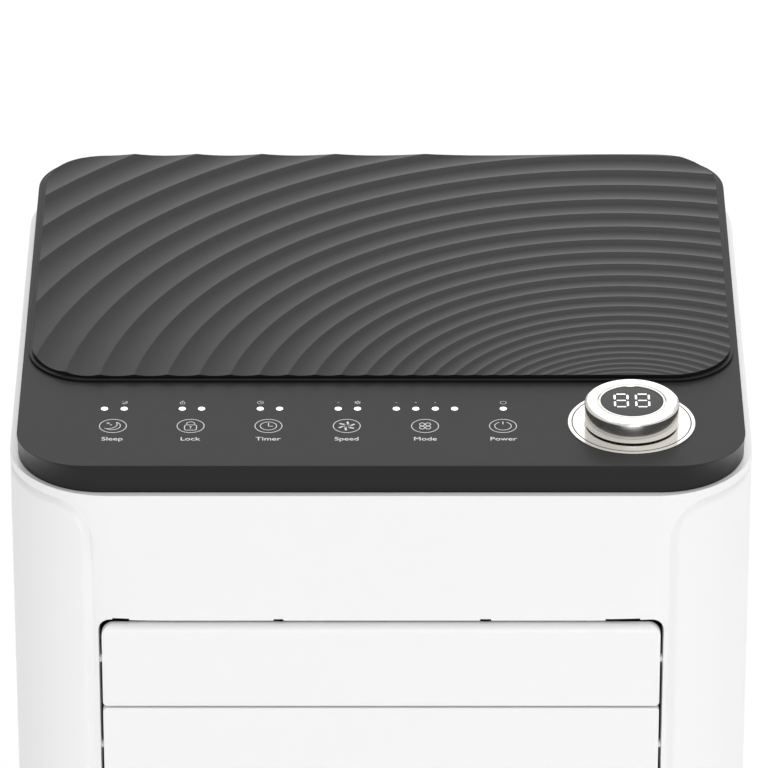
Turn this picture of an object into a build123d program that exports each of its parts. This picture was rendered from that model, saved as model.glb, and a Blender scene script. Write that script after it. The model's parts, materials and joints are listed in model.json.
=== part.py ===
"""Portable air conditioner on casters, modelled as a bench-apart assembly of separate sub-parts.

Millimetres, +Z up, the front (air outlet) faces -Y, and the origin is on the floor below the
middle of the body.  Each sub-part is written to parts/NODE.step.
"""
from build123d import *
import os
from math import cos, pi, sin, sqrt

# ---------------------------------------------------------------- driving dimensions, mm
WIDTH, DEPTH, CORNER = 350.0, 320.0, 48.0        # plan of the body and its corner radius
SKIRT_Z = 42.0                                   # underside of the base pan
PANEL_Z = 60.0                                   # lower edge of the body panels
RIM_Z = 675.5                                    # white ledge around the dark cap
DECK_Z = 690.0                                   # control surface on the cap
WALL = 5.0                                       # front and rear shell thickness
REBATE = 2.7                                     # depth of the rebate the side panels sit in
SIDE_EDGE = 135.3                                # |x| where a side panel starts
SIDE_TOP = 671.0                                 # top of the side-panel rebate
SIDE_TOP_R = 20.0                                # round on the side panel's upper corner

CAP_W, CAP_D = 342.0, 314.0                      # dark cap outline
CAP_R_LOW, CAP_R_TOP = 45.0, 32.0                # its corner radius at the ledge and at the deck
LID_W, LID_R = 337.0, 30.0                       # ripple plate width and corner radius
LID_Y = (-76.6, 154.4)                           # ripple plate front and back edges
LID_TOP = 693.3                                  # crest height of the ripples
RIPPLE_AT = (117.8, -118.6)                      # centre of the ripple arcs
RIPPLES = 31                                     # flutes across the plate

KNOB_AT = (117.8, -116.3)                        # knob axis
KNOB_R, KNOB_TOP = 22.3, 702.0                   # turning ring
BASE_RING_R = 30.0
BEZEL_R, LENS_R = 16.05, 14.6                    # fixed display in the middle of the knob

OUTLET_X = 133.5                                 # half width of the air outlet
OUTLET_Z = (512.1, 607.9)                        # outlet lower and upper edge
BLADE_X, BLADE_H = 131.7, 46.5                   # louver half width and height
BLADE_Z = (583.95, 536.35)                       # louver pivot heights, upper and lower
PIVOT_Y = -153.8                                 # louver pivot line
ARM = (22.0, -20.0)                              # louver arm: pin offset from the pivot (y, z)
CRANK_AT = (-131.0, 562.0)                       # stepper shaft (y, z)
VANE_X = (-100.0, -50.0, 0.0, 50.0, 100.0)       # upright vanes
VANE_Y, VANE_ARM = -104.0, 10.0                  # vane pivot line and link pin offset
DUCT_Z = (511.6, 608.4)                          # clear height inside the outlet duct
DUCT_FRONT, DUCT_BACK = -156.8, -62.0

BLOWER_AT, BLOWER_R = (15.0, 535.0), 58.0        # evaporator blower axis (y, z), wheel radius
TRAY_Z = 424.0                                   # condensate tray between the two circuits
COIL_Y = (108.0, 138.0)                          # both heat exchangers
UPPER_WINDOW = (455.0, 648.0)                    # rear intake windows, low and high z
LOWER_WINDOW = (95.0, 235.0)
WINDOW_X = 125.0
FAN_AT, FAN_R = (45.0, 185.0), 70.0              # condenser fan axis (x, z), wheel radius
EXHAUST_AT, EXHAUST_R = (45.0, 335.0), 75.0      # hose outlet axis (x, z), bore radius
HANDLE_Z, HANDLE_Y, HANDLE_DEEP = (598.0, 636.0), 55.0, 25.0

CASTER_AT = (128.0, 112.0)                       # |x|, |y| of the swivel axes
WHEEL_R, TRAIL, STEM_R = 18.0, 12.0, 4.0
COMPRESSOR_AT, COMPRESSOR_R = (-95.0, -75.0), 55.0
DRAIN_AT = (0.0, 50.0)                           # lower drain (x, z)
TRAY_DRAIN_AT = (-95.0, 403.0)                   # upper drain (x, z)
GLAND_AT, CORD_R = (-95.0, 300.0), 4.5           # cord entry (x, z), cord bore radius
SLIP = 0.05                                      # radial clearance of running fits
GAP = 0.3                                        # seam between neighbouring panels


# ---------------------------------------------------------------- shape helpers
def block(x, y, z):
    """Box from three (low, high) pairs."""
    size = [high - low for low, high in (x, y, z)]
    middle = [(high + low) / 2 for low, high in (x, y, z)]
    return Pos(*middle) * Box(*size)


def rod(axis, centre, radius, span):
    """Cylinder along "x", "y" or "z"; centre holds the other two coordinates in order."""
    low, high = span
    a, b = centre
    turn = {"x": Rot(0, 90, 0), "y": Rot(-90, 0, 0), "z": Rot(0, 0, 0)}[axis]
    mid = (low + high) / 2
    place = {"x": Pos(mid, a, b), "y": Pos(a, mid, b), "z": Pos(a, b, mid)}[axis]
    return place * turn * Cylinder(radius, high - low)


def ring(axis, centre, outer, inner, span):
    """Tube along an axis."""
    low, high = span
    return rod(axis, centre, outer, span) - rod(axis, centre, inner, (low - 1, high + 1))


def rounded(width, depth, radius, z, at=(0.0, 0.0)):
    """Upright prism with a rounded-rectangle plan, z a (low, high) pair."""
    return Pos(at[0], at[1], z[0]) * extrude(RectangleRounded(width, depth, radius), z[1] - z[0])


def body_prism(inset, z):
    """The body's plan moved in by inset."""
    return rounded(WIDTH - 2 * inset, DEPTH - 2 * inset, CORNER - inset, z)


def wall(outer_inset, inner_inset, z):
    """Upright wall that follows the body's plan."""
    return body_prism(outer_inset, z) - body_prism(inner_inset, (z[0] - 1, z[1] + 1))


def tube_path(points, radius, bend):
    """Round tube along straight runs joined by arcs."""
    path = FilletPolyline(*points, radius=bend)
    return sweep(Plane(path @ 0, z_dir=path % 0) * Circle(radius), path=path)


def louvre_slats(x, y, z, pitch, thick):
    """Level slats that fill a window."""
    count = int((z[1] - z[0]) / pitch)
    slats = [block(x, y, (z[0] + (i + 0.5) * pitch, z[0] + (i + 0.5) * pitch + thick))
             for i in range(count)]
    return slats


# ---------------------------------------------------------------- base and casters
def base_pan():
    """Moulded pan that carries the refrigeration circuit and holds the caster stems."""
    pan = body_prism(1, (SKIRT_Z, PANEL_Z - 2)) - body_prism(7.7, (SKIRT_Z + 3, PANEL_Z))
    pan += wall(5.3, 7.7, (PANEL_Z - 3, 72))
    for x, y in corners():
        pan += rod("z", (x, y), 11, (SKIRT_Z + 1, 62))
    for x, y in corners():
        pan -= rod("z", (x, y), STEM_R + SLIP, (SKIRT_Z - 1, 59))
    pan -= rod("y", DRAIN_AT, 5 + SLIP, (148, 162))
    pan -= rod("y", DRAIN_AT, 7.3, (157, 162))
    for x, y in foot_places():
        pan += rod("z", (x, y), 8, (SKIRT_Z + 1, 52))
    return pan


def corners():
    """Plan positions of the four caster swivels: front left, front right, rear left, rear right."""
    x, y = CASTER_AT
    return [(-x, -y), (x, -y), (-x, y), (x, y)]


def foot_places():
    """Three compressor feet around its axis."""
    cx, cy = COMPRESSOR_AT
    return [(cx + 52 * cos(a), cy + 52 * sin(a)) for a in (pi / 12, 3 * pi / 4, 17 * pi / 12)]


def caster_fork(x, y):
    """Swivel plate with stem, two legs and the wheel axle."""
    fork = rod("z", (x, y), 13, (36.8, 41.5)) + rod("z", (x, y), STEM_R, (40, 58))
    for side in (-1, 1):
        inner, outer = sorted((x + side * 9.5, x + side * 12.0))
        leg = block((inner, outer), (y - 4, y + TRAIL + 4), (WHEEL_R, 38))
        leg += rod("x", (y + TRAIL, WHEEL_R), 6, (inner, outer))
        fork += leg
    return fork + rod("x", (y + TRAIL, WHEEL_R), 3, (x - 10, x + 10))


def caster_wheel(x, y):
    """Wheel with a rounded tread and a hollow in each flank."""
    at = (y + TRAIL, WHEEL_R)
    wheel = rod("x", at, WHEEL_R, (x - 8.5, x + 8.5))
    wheel = fillet(wheel.edges().filter_by(GeomType.CIRCLE), 2.5)
    for side in (-1, 1):
        span = sorted((x + side * 6.5, x + side * 9))
        wheel -= ring("x", at, 13, 6, span)
    return wheel - rod("x", at, 3 + SLIP, (x - 9, x + 9))


# ---------------------------------------------------------------- body panels
def side_slot(side, clear):
    """Prism through the body that a side panel fills, with its rounded upper corners."""
    edge, top, r = SIDE_EDGE + clear, SIDE_TOP - clear, SIDE_TOP_R
    far = WIDTH / 2 + 5
    deep = (-DEPTH / 2 - 5, DEPTH / 2 + 5)
    parts = block(sorted((side * edge, side * far)), deep, (PANEL_Z - 2, top - r))
    parts += block(sorted((side * (edge + r), side * far)), deep, (PANEL_Z - 2, top))
    parts += rod("y", (side * (edge + r), top - r), r, deep)
    return parts


def panel_wall():
    """Full wall of the body with the rebates for both side panels and the flange under the cap."""
    shell = wall(0, WALL, (PANEL_Z, RIM_Z)) + wall(WALL - 1, 13, (RIM_Z - 3.5, RIM_Z))
    outer_layer = wall(-6, REBATE, (PANEL_Z - 1, RIM_Z + 1))
    for side in (-1, 1):
        shell -= outer_layer & side_slot(side, 0)
        reach = WIDTH / 2 - HANDLE_DEEP - 3
        shell -= block(sorted((side * reach, side * 180)), (-HANDLE_Y - 3, HANDLE_Y + 3),
                       (HANDLE_Z[0] - 3, HANDLE_Z[1] + 3))
    return shell


def front_panel(shell):
    """Front half of the wall with the air outlet."""
    panel = shell & block((-200, 200), (-200, -0.1), (0, 700))
    mouth = Plane.XZ * RectangleRounded(2 * OUTLET_X, OUTLET_Z[1] - OUTLET_Z[0] + 20, 6.5)
    mouth = Pos(0, -150, (OUTLET_Z[0] + OUTLET_Z[1]) / 2 - 10) * extrude(mouth, 15)
    panel -= mouth & block((-200, 200), (-170, -140), (OUTLET_Z[0], 640))
    panel -= block((-135, 135), (-156.9, -140), (DUCT_Z[0] - 2.3, DUCT_Z[1] + 2.3))
    return panel


def rear_panel(shell):
    """Rear half of the wall: two intake windows, hose outlet, drain, cord entry, screw holes."""
    panel = shell & block((-200, 200), (0.1, 200), (0, 700))
    for low, high in (UPPER_WINDOW, LOWER_WINDOW):
        panel -= block((-WINDOW_X, WINDOW_X), (140, 170), (low, high))
    panel -= rod("y", EXHAUST_AT, EXHAUST_R + 3.1, (140, 170))
    panel -= rod("y", EXHAUST_AT, EXHAUST_R + 9, (157.3, 170))
    panel += ring("y", TRAY_DRAIN_AT, 9, 5 + SLIP, (148, 157))
    panel -= rod("y", TRAY_DRAIN_AT, 5 + SLIP, (140, 170))
    panel -= rod("y", TRAY_DRAIN_AT, 7.3, (157, 170))
    panel -= rod("y", GLAND_AT, 8, (140, 170))
    for x, z in screw_places():
        panel += rod("y", (x, z), 4.5, (148, 156))
        panel -= rod("y", (x, z), 1.7, (147, 170))
        panel -= rod("y", (x, z), 4.3, (158.2, 170))
    return panel


def screw_places():
    """Case screws on the rear face (x, z)."""
    return [(x, z) for z in (80.0, 437.0, 661.0) for x in (-118.0, 118.0)]


def side_panel(side):
    """Side cover that wraps both corners, with a recessed finger grip."""
    panel = wall(0, REBATE - 0.1, (PANEL_Z, RIM_Z)) & side_slot(side, GAP)
    outer = WIDTH / 2
    inner = outer - HANDLE_DEEP
    cup = block(sorted((side * (inner - 2), side * (outer - 1))), (-HANDLE_Y - 2, HANDLE_Y + 2),
                (HANDLE_Z[0] - 2, HANDLE_Z[1] + 2))
    hollow = block(sorted((side * inner, side * (outer + 5))), (-HANDLE_Y, HANDLE_Y), HANDLE_Z)
    return panel + cup - hollow


# ---------------------------------------------------------------- top
def top_cap():
    """Dark cap: corners tighten towards the deck, so the deck overhangs them slightly."""
    low = Pos(0, 0, RIM_Z) * RectangleRounded(CAP_W, CAP_D, CAP_R_LOW)
    high = Pos(0, 0, DECK_Z) * RectangleRounded(CAP_W, CAP_D, CAP_R_TOP)
    cap = loft([low.face(), high.face()])
    cap -= rounded(CAP_W - 8, CAP_D - 8, CAP_R_LOW - 2, (RIM_Z - 1, DECK_Z - 3))
    for x, y in corners():
        cap += rod("z", (x * 1.15, y * 0.55), 4, (RIM_Z + 1, DECK_Z - 2))
    return cap - rod("z", KNOB_AT, BEZEL_R + SLIP, (RIM_Z, DECK_Z + 1))


def ripple_radius(n):
    """Radius of ripple crest n: the flutes widen steadily away from the knob."""
    return 42.22 + 2.967 * n + 0.3053 * n * n


def top_lid():
    """Plate whose top is cut into concentric concave flutes with sharp crests."""
    middle = (0.0, (LID_Y[0] + LID_Y[1]) / 2)
    depth = LID_Y[1] - LID_Y[0]
    start = (ripple_radius(0) - 6, 0)
    points = [(ripple_radius(n), LID_TOP) for n in range(RIPPLES)]
    lines = Line((start[0], LID_TOP), points[0])
    for a, b in zip(points, points[1:]):
        sag = 0.05 * (b[0] - a[0])
        lines += ThreePointArc(a, ((a[0] + b[0]) / 2, LID_TOP - sag), b)
    lines += Polyline(points[-1], (points[-1][0], DECK_Z + 1.6), (start[0], DECK_Z + 1.6),
                      (start[0], LID_TOP))
    profile = make_face(Plane.XZ * lines)
    waves = Pos(RIPPLE_AT[0], RIPPLE_AT[1], 0) * revolve(profile, Axis.Z)
    plate = waves & rounded(LID_W, depth, LID_R, (DECK_Z + 1, LID_TOP + 1), middle)
    plate += rounded(LID_W - 2.4, depth - 2.4, LID_R - 1.2, (DECK_Z + 1.1, DECK_Z + 1.7), middle)
    return plate + rounded(LID_W - 1, depth - 1, LID_R - 0.5, (DECK_Z, DECK_Z + 1.2), middle)


def knob_base_ring():
    """Thin trim ring on the deck under the knob, with a fine groove near its edge."""
    plate = ring("z", KNOB_AT, BASE_RING_R, BEZEL_R + 0.2, (DECK_Z, DECK_Z + 0.6))
    return plate - ring("z", KNOB_AT, 28.2, 27.8, (DECK_Z + 0.3, DECK_Z + 1))


def knob_ring():
    """Turning ring of the control knob: waisted side, chamfered shoulder."""
    bore = BEZEL_R + SLIP
    z0, z1 = DECK_Z + 1.2, KNOB_TOP
    outline = Polyline((bore, z0), (KNOB_R - 0.6, z0), (KNOB_R, z0 + 0.6), (KNOB_R, z0 + 4.0))
    outline += ThreePointArc((KNOB_R, z0 + 4.0), (KNOB_R - 0.9, z0 + 5.2), (KNOB_R, z0 + 6.4))
    outline += Polyline((KNOB_R, z0 + 6.4), (KNOB_R, z1 - 1.3), (KNOB_R - 1.5, z1), (bore, z1),
                        (bore, z0))
    knob = revolve(make_face(Plane.XZ * outline), Axis.Z)
    return Pos(KNOB_AT[0], KNOB_AT[1], 0) * knob


def display_post():
    """Fixed hollow post inside the turning ring, with the bezel and a seat for the lens."""
    post = rod("z", KNOB_AT, BEZEL_R, (DECK_Z - 8, KNOB_TOP - 0.1))
    post -= rod("z", KNOB_AT, 13.5, (DECK_Z - 9, KNOB_TOP - 2))
    return post - rod("z", KNOB_AT, LENS_R + SLIP, (KNOB_TOP - 1.5, KNOB_TOP + 1))


def display_lens():
    """Dark window over the two-digit display."""
    return rod("z", KNOB_AT, LENS_R, (KNOB_TOP - 1.5, KNOB_TOP - 0.3))


def display_board():
    """Round circuit board under the lens."""
    return rod("z", KNOB_AT, 13.4, (KNOB_TOP - 5, KNOB_TOP - 3.4))


def touch_board():
    """Touch-key circuit board with stand-offs, hung under the deck."""
    board = block((-145, 75), (-135, -90), (DECK_Z - 6.6, DECK_Z - 5))
    for x in (-140.0, -35.0, 70.0):
        for y in (-130.0, -95.0):
            board += rod("z", (x, y), 3, (DECK_Z - 5.5, DECK_Z - 3))
    return board


# ---------------------------------------------------------------- air outlet
def louver(pivot_z, top_r):
    """Outlet blade: bevelled upper edge, end bosses with pivot pins, arm with its link pin."""
    half = BLADE_H / 2
    face, back, bevel = -DEPTH / 2, -DEPTH / 2 + 4, 4.2
    profile = Polyline((back, -half), (face + 1.2, -half), (face, 1.2 - half),
                       (face, half - bevel), (face + bevel - 0.6, half), (back, half),
                       (back, -half))
    face_plan = fillet(Rectangle(2 * BLADE_X, BLADE_H).vertices().group_by(Axis.Y)[-1], top_r)
    face_plan = fillet(face_plan.vertices().group_by(Axis.Y)[0], 2)
    blade = extrude(make_face(Plane.YZ * profile), BLADE_X, both=True)
    blade &= Pos(0, PIVOT_Y, 0) * extrude(Plane.XZ * face_plan, 20, both=True)
    blade = Pos(0, 0, pivot_z) * blade
    at = (PIVOT_Y, pivot_z)
    for x in ((-BLADE_X, -BLADE_X + 4), (BLADE_X - 4, BLADE_X)):
        blade += rod("x", at, 3, x) + block(x, (back - 1, PIVOT_Y), (pivot_z - 3, pivot_z + 3))
    blade += rod("x", at, 2, (-BLADE_X - 2.6, -BLADE_X + 1))
    blade += rod("x", at, 2, (BLADE_X - 1, BLADE_X + 2.6))
    pin = (at[0] + ARM[0], at[1] + ARM[1])
    blade += arm_bar(at, pin, (124.4, 126.9), 3) + block((124.4, 126.9), (back - 1, PIVOT_Y),
                                                         (pivot_z - 3, pivot_z + 3))
    return blade + rod("x", pin, 1.5, (126, 129))


def arm_bar(start, end, x, radius):
    """Flat bar with round ends in a plane of constant x, between two (y, z) points."""
    length = sqrt((end[0] - start[0]) ** 2 + (end[1] - start[1]) ** 2)
    bar = Box(x[1] - x[0], length, 2 * radius - 1)
    direction = Vector(0, end[0] - start[0], end[1] - start[1])
    angle = direction.get_signed_angle(Vector(0, 1, 0), Vector(1, 0, 0))
    middle = ((x[0] + x[1]) / 2, (start[0] + end[0]) / 2, (start[1] + end[1]) / 2)
    bar = Pos(*middle) * Rot(-angle, 0, 0) * bar
    return bar + rod("x", start, radius, x) + rod("x", end, radius, x)


def louver_link():
    """Upright link that ties both louvers and the stepper's crank together."""
    x = (127.2, 128.8)
    pins = [(PIVOT_Y + ARM[0], z + ARM[1]) for z in BLADE_Z]
    crank_pin = (CRANK_AT[0] + ARM[0], CRANK_AT[1] + ARM[1])
    link = arm_bar(pins[0], pins[1], x, 2.4) + arm_bar((pins[0][0], crank_pin[1]), crank_pin, x, 2.4)
    link -= rod("x", pins[0], 1.5 + SLIP, (126, 130))
    return link - rod("x", pins[1], 1.7, (126, 130)) - rod("x", crank_pin, 1.7, (126, 130))


def louver_crank():
    """Crank on the stepper's shaft, driving the link."""
    pin = (CRANK_AT[0] + ARM[0], CRANK_AT[1] + ARM[1])
    crank = arm_bar(CRANK_AT, pin, (129.4, 131.4), 3) + rod("x", pin, 1.5, (127.3, 130))
    return crank + rod("x", CRANK_AT, 2, (131, 139))


def louver_motor():
    """Flat stepper motor outside the duct wall, with its two mounting ears."""
    y, z = CRANK_AT
    motor = rod("x", CRANK_AT, 10.5, (135.2, 149))
    motor += block((135.2, 136.4), (y - 4, y + 4), (z - 17, z + 17))
    return motor - rod("x", CRANK_AT, 2 + SLIP, (134, 140))


def vane(x):
    """Upright vane with pivot pins, and a notch in its trailing edge that holds the link pin."""
    blade = block((x - 0.8, x + 0.8), (VANE_Y - 14, VANE_Y + 14), (DUCT_Z[0] + 1, DUCT_Z[1] - 1))
    blade -= block((x - 2, x + 2), (VANE_Y + 3, VANE_Y + 15), (DUCT_Z[0] + 3, DUCT_Z[0] + 9))
    for z in ((DUCT_Z[0] - 1.8, DUCT_Z[0] + 2), (DUCT_Z[1] - 2, DUCT_Z[1] + 1.8)):
        blade += rod("z", (x, VANE_Y), 1.5, z)
    return blade + rod("z", (x, VANE_Y + VANE_ARM), 1.2, (DUCT_Z[0] + 2, DUCT_Z[0] + 10))


def vane_link():
    """Level bar that turns the vanes together."""
    y = VANE_Y + VANE_ARM
    bar = block((VANE_X[0] - 5, VANE_X[-1] + 5), (y - 3, y + 3), (DUCT_Z[0] + 4.5, DUCT_Z[0] + 7.5))
    for i, x in enumerate(VANE_X):
        bar -= rod("z", (x, y), 1.25 if i == 0 else 1.5, (500, 530))
    return bar


def outlet_duct():
    """Rectangular tunnel from the blower to the louvers, with the pivot holes."""
    outer = block((-134.9, 134.9), (DUCT_FRONT, DUCT_BACK), (DUCT_Z[0] - 2, DUCT_Z[1] + 2))
    duct = outer - block((-OUTLET_X, OUTLET_X), (DUCT_FRONT - 1, DUCT_BACK - 2), DUCT_Z)
    duct -= block((-110, 110), (DUCT_BACK - 3, DUCT_BACK + 1), DUCT_Z)
    for z in BLADE_Z:
        duct -= rod("x", (PIVOT_Y, z), 2 + SLIP, (-140, 140))
    duct -= rod("x", CRANK_AT, 2.2, (130, 140))
    for x in VANE_X:
        duct -= rod("z", (x, VANE_Y), 1.5 + SLIP, (500, 620))
    return duct


# ---------------------------------------------------------------- evaporator circuit
def blower_profile(inset):
    """Blower housing section: drum and throat, moved in by inset."""
    drum = rod("x", BLOWER_AT, 72 - inset, (-112 + inset, 112 - inset))
    throat = block((-112 + inset, 112 - inset), (DUCT_BACK + 0.2 - 5 * inset, BLOWER_AT[0]),
                   (DUCT_Z[0] - 2 + inset, DUCT_Z[1] - 6 - inset))
    return drum + throat


def evaporator_scroll():
    """Sheet housing of the cross-flow blower, open to the coil behind and the duct in front."""
    y, z = BLOWER_AT
    housing = blower_profile(0)
    for x in ((-112, -110), (110, 112)):
        housing += block(x, (y - 25, y + 25), (TRAY_Z + 2, z))
    housing -= blower_profile(1.6)
    housing -= block((-108, 108), (y + 40, y + 90), (z - 45, z + 45))
    housing -= block((-108, 108), (DUCT_BACK - 20, DUCT_BACK + 20), (DUCT_Z[0] + 2, DUCT_Z[1] - 10))
    return housing - rod("x", BLOWER_AT, STEM_R + SLIP, (-120, 120))


def drum_wheel(axis_blades, length, radius, count):
    """Blower drum along +Z from 0: end plates and a ring of blades."""
    wheel = Pos(0, 0, 1) * Cylinder(radius, 2)
    wheel += Pos(0, 0, length - 1) * (Cylinder(radius, 2) - Cylinder(radius - 16, 3))
    for i in range(count):
        blade = Pos(radius - 7, 0, length / 2) * Rot(0, 0, axis_blades) * Box(13, 1.2, length - 2)
        wheel += Rot(0, 0, 360 * i / count) * blade
    return wheel


def evaporator_fan():
    """Cross-flow blower drum on its shaft."""
    drum = Pos(-104, BLOWER_AT[0], BLOWER_AT[1]) * Rot(0, 90, 0) * drum_wheel(25, 208, BLOWER_R, 24)
    return drum + rod("x", BLOWER_AT, STEM_R, (-112, 128))


def evaporator_motor():
    """Blower motor on the right-hand end of the housing."""
    motor = rod("x", BLOWER_AT, 33, (116, 148)) + rod("x", BLOWER_AT, 12, (112.2, 116))
    return motor - rod("x", BLOWER_AT, STEM_R + SLIP, (110, 129))


def coil(z, rows):
    """Finned heat exchanger: grooved fin pack, end plates and return bends."""
    pack = block((-138, 138), COIL_Y, z)
    for i in range(34):
        x = -132 + 8 * i
        pack -= block((x - 2.4, x + 2.4), (COIL_Y[0] - 1, COIL_Y[0] + 5), (z[0] + 4, z[1] - 4))
        pack -= block((x - 2.4, x + 2.4), (COIL_Y[1] - 5, COIL_Y[1] + 1), (z[0] + 4, z[1] - 4))
    pitch = (z[1] - z[0]) / rows
    for side in (-1, 1):
        for i in range(rows):
            bend = Torus(7.5, 3.2) & block((0, 20), (-20, 20), (-5, 5))
            bend = Rot(0, 0, 0 if side > 0 else 180) * bend
            pack += Pos(side * 138, (COIL_Y[0] + COIL_Y[1]) / 2, z[0] + (i + 0.5) * pitch) * bend
    return pack


def evaporator_tray():
    """Condensate tray and bulkhead between the cold and the hot circuit."""
    tray = rounded(284, 309.6, 43, (TRAY_Z, TRAY_Z + 2))
    trough = block((-141, 141), (COIL_Y[0] - 6, COIL_Y[1] + 6), (TRAY_Z, TRAY_Z + 14))
    return tray + trough - block((-139, 139), (COIL_Y[0] - 4, COIL_Y[1] + 4), (TRAY_Z + 2, TRAY_Z + 20))


# ---------------------------------------------------------------- condenser circuit
def fan_case(inset, y):
    """Condenser fan housing: drum below, chimney to the hose outlet above."""
    half = 84 - inset
    top = EXHAUST_AT[1] + 83 - inset
    case = rod("y", FAN_AT, half, y)
    return case + block((FAN_AT[0] - half, FAN_AT[0] + half), y, (FAN_AT[1], top))


def condenser_scroll():
    """Fan housing with its inlet eye and the round opening to the hose collar."""
    case = fan_case(0, (15, 75)) - fan_case(2, (17, 73))
    case -= rod("y", FAN_AT, 52, (70, 80))
    case -= rod("y", EXHAUST_AT, EXHAUST_R, (70, 80))
    return case - rod("y", FAN_AT, 14, (10, 20))


def condenser_fan():
    """Centrifugal wheel on its shaft."""
    wheel = Pos(FAN_AT[0], 22, FAN_AT[1]) * Rot(-90, 0, 0) * drum_wheel(25, 46, FAN_R, 28)
    return wheel + rod("y", FAN_AT, STEM_R, (-12, 24))


def condenser_motor():
    """Fan motor bolted to the front of the fan housing."""
    motor = rod("y", FAN_AT, 38, (-42, 8)) + rod("y", FAN_AT, 13.8, (8, 18))
    motor += ring("y", FAN_AT, 44, 30, (11, 14.9)) + ring("y", FAN_AT, 38, 30, (6, 12))
    return motor - rod("y", FAN_AT, STEM_R + SLIP, (-13, 20))


def exhaust_collar():
    """Round socket for the exhaust hose, seated in the rear panel and the fan housing."""
    collar = ring("y", EXHAUST_AT, EXHAUST_R + 3, EXHAUST_R, (75.1, 158))
    return collar + ring("y", EXHAUST_AT, EXHAUST_R + 8.9, EXHAUST_R, (157.4, 160))


def compressor():
    """Rotary compressor: domed shell, foot plate and tube stubs."""
    x, y = COMPRESSOR_AT
    body = rod("z", COMPRESSOR_AT, COMPRESSOR_R, (70, 270))
    body = fillet(body.edges().filter_by(GeomType.CIRCLE), 16)
    plate = rod("z", COMPRESSOR_AT, 46, (64, 74))
    for fx, fy in foot_places():
        plate += rod("z", (fx, fy), 11, (64, 67))
        plate -= rod("z", (fx, fy), 5, (60, 70))
    return body + plate + rod("z", (x, y), 5, (265, 284))


def compressor_feet():
    """Three rubber grommets between the compressor plate and the pan."""
    feet = [rod("z", (x, y), 10, (52, 63.9)) + rod("z", (x, y), 4.9, (63, 72))
            for x, y in foot_places()]
    return Compound(feet)


def terminal_cover():
    """Plastic cover over the compressor's electrical terminals."""
    x, y = COMPRESSOR_AT
    return block((x + 12, x + 38), (y + 12, y + 38), (270.2, 290))


def accumulator():
    """Suction accumulator beside the compressor, with its inlet elbow."""
    tank = rod("z", (-18, -85), 18, (92, 225))
    tank = fillet(tank.edges().filter_by(GeomType.CIRCLE), 7)
    return tank + rod("x", (-85, 110), 4.5, (-40.2, -30)) + rod("z", (-18, -85), 4.5, (220, 235))


def refrigerant_lines():
    """Discharge line, suction line and the coiled capillary, as separate pipes."""
    cx, cy = COMPRESSOR_AT
    discharge = tube_path([(cx, cy, 284.1), (cx, cy, 312), (cx, 100, 312), (-153, 100, 312),
                           (-153, 100, 200)], 3.5, 12)
    suction = tube_path([(-18, -85, 235.1), (-18, -85, 352), (-155, -85, 352), (-155, 92, 352),
                         (-155, 92, 500)], 4.5, 14)
    capillary = Torus(14, 1.7)
    for i in (1, 2, 3):
        capillary += Pos(0, 0, 3 * i) * Torus(14, 1.7)
    return Compound([discharge, suction, Pos(-100, 30, 380) * capillary])


def splash_wheel():
    """Slinger disc that throws condensate onto the condenser."""
    at = (-75.0, 76.0)
    wheel = rod("y", at, 21, (88, 90)) + rod("y", at, 3, (70, 94))
    for i in range(8):
        wheel += Pos(at[0], 91.5, at[1]) * Rot(0, 45 * i, 0) * Pos(14, 0, 0) * Box(12, 4, 1.5)
    return wheel


def splash_motor():
    """Small motor of the slinger on its bracket."""
    at = (-75.0, 76.0)
    motor = rod("y", at, 15, (58, 84)) + block((-92, -58), (66, 76), (45.1, 66))
    return motor - rod("y", at, 3 + SLIP, (69, 86))


# ---------------------------------------------------------------- electrics and small parts
def control_box():
    """Open sheet-metal tray for the main board, above the duct."""
    tray = block((-138, -20), (-138, -20), (616, 664))
    return tray - block((-136.5, -21.5), (-136.5, -21.5), (617.5, 670))


def main_board():
    """Main circuit board with its relay and transformer."""
    board = block((-134, -24), (-134, -60), (624, 625.6))
    board += block((-130, -105), (-126, -100), (625, 645)) + block((-90, -70), (-126, -112), (625, 640))
    return board + block((-60, -40), (-100, -75), (625, 638))


def run_capacitor():
    """Oval-can run capacitor beside the board."""
    can = rod("x", (-40, 636), 15, (-120, -50))
    return can + block((-124, -120), (-46, -34), (632, 640))


def intake_filter(window):
    """Slatted filter frame that pulls straight out of a rear window."""
    low, high = window[0] + 0.4, window[1] - 0.4
    x = (-WINDOW_X + 0.4, WINDOW_X - 0.4)
    frame = block(x, (155.2, 160), (low, high))
    frame -= block((x[0] + 10, x[1] - 10), (150, 165), (low + 10, high - 10))
    inside = ((x[0] + 9, x[1] - 9), (156, 159.4), (low + 10, high - 10))
    for slat in louvre_slats(*inside, 7.0, 2.4):
        frame += slat
    for rib in (-60.0, 0.0, 60.0):
        frame += block((rib - 1.5, rib + 1.5), (155.2, 158.6), (low + 5, high - 5))
    return frame


def drain_plug(at):
    """Stopper with a head that sits in a counterbore."""
    return rod("y", at, 5, (149, 158)) + rod("y", at, 7, (157.2, 159.9 if at[1] > 100 else 158.9))


def cord_gland():
    """Cord entry bush with its back nut."""
    bush = rod("y", GLAND_AT, 7.95, (145, 160)) + rod("y", GLAND_AT, 11, (148, 154.9))
    return bush - rod("y", GLAND_AT, CORD_R, (140, 165))


def case_screws():
    """Six identical case screws."""
    screws = [rod("y", at, 4, (158.4, 159.9)) + rod("y", at, 1.65, (149, 159))
              - rod("y", at, 1.5, (159.2, 161)) for at in screw_places()]
    return Compound(screws)


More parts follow.
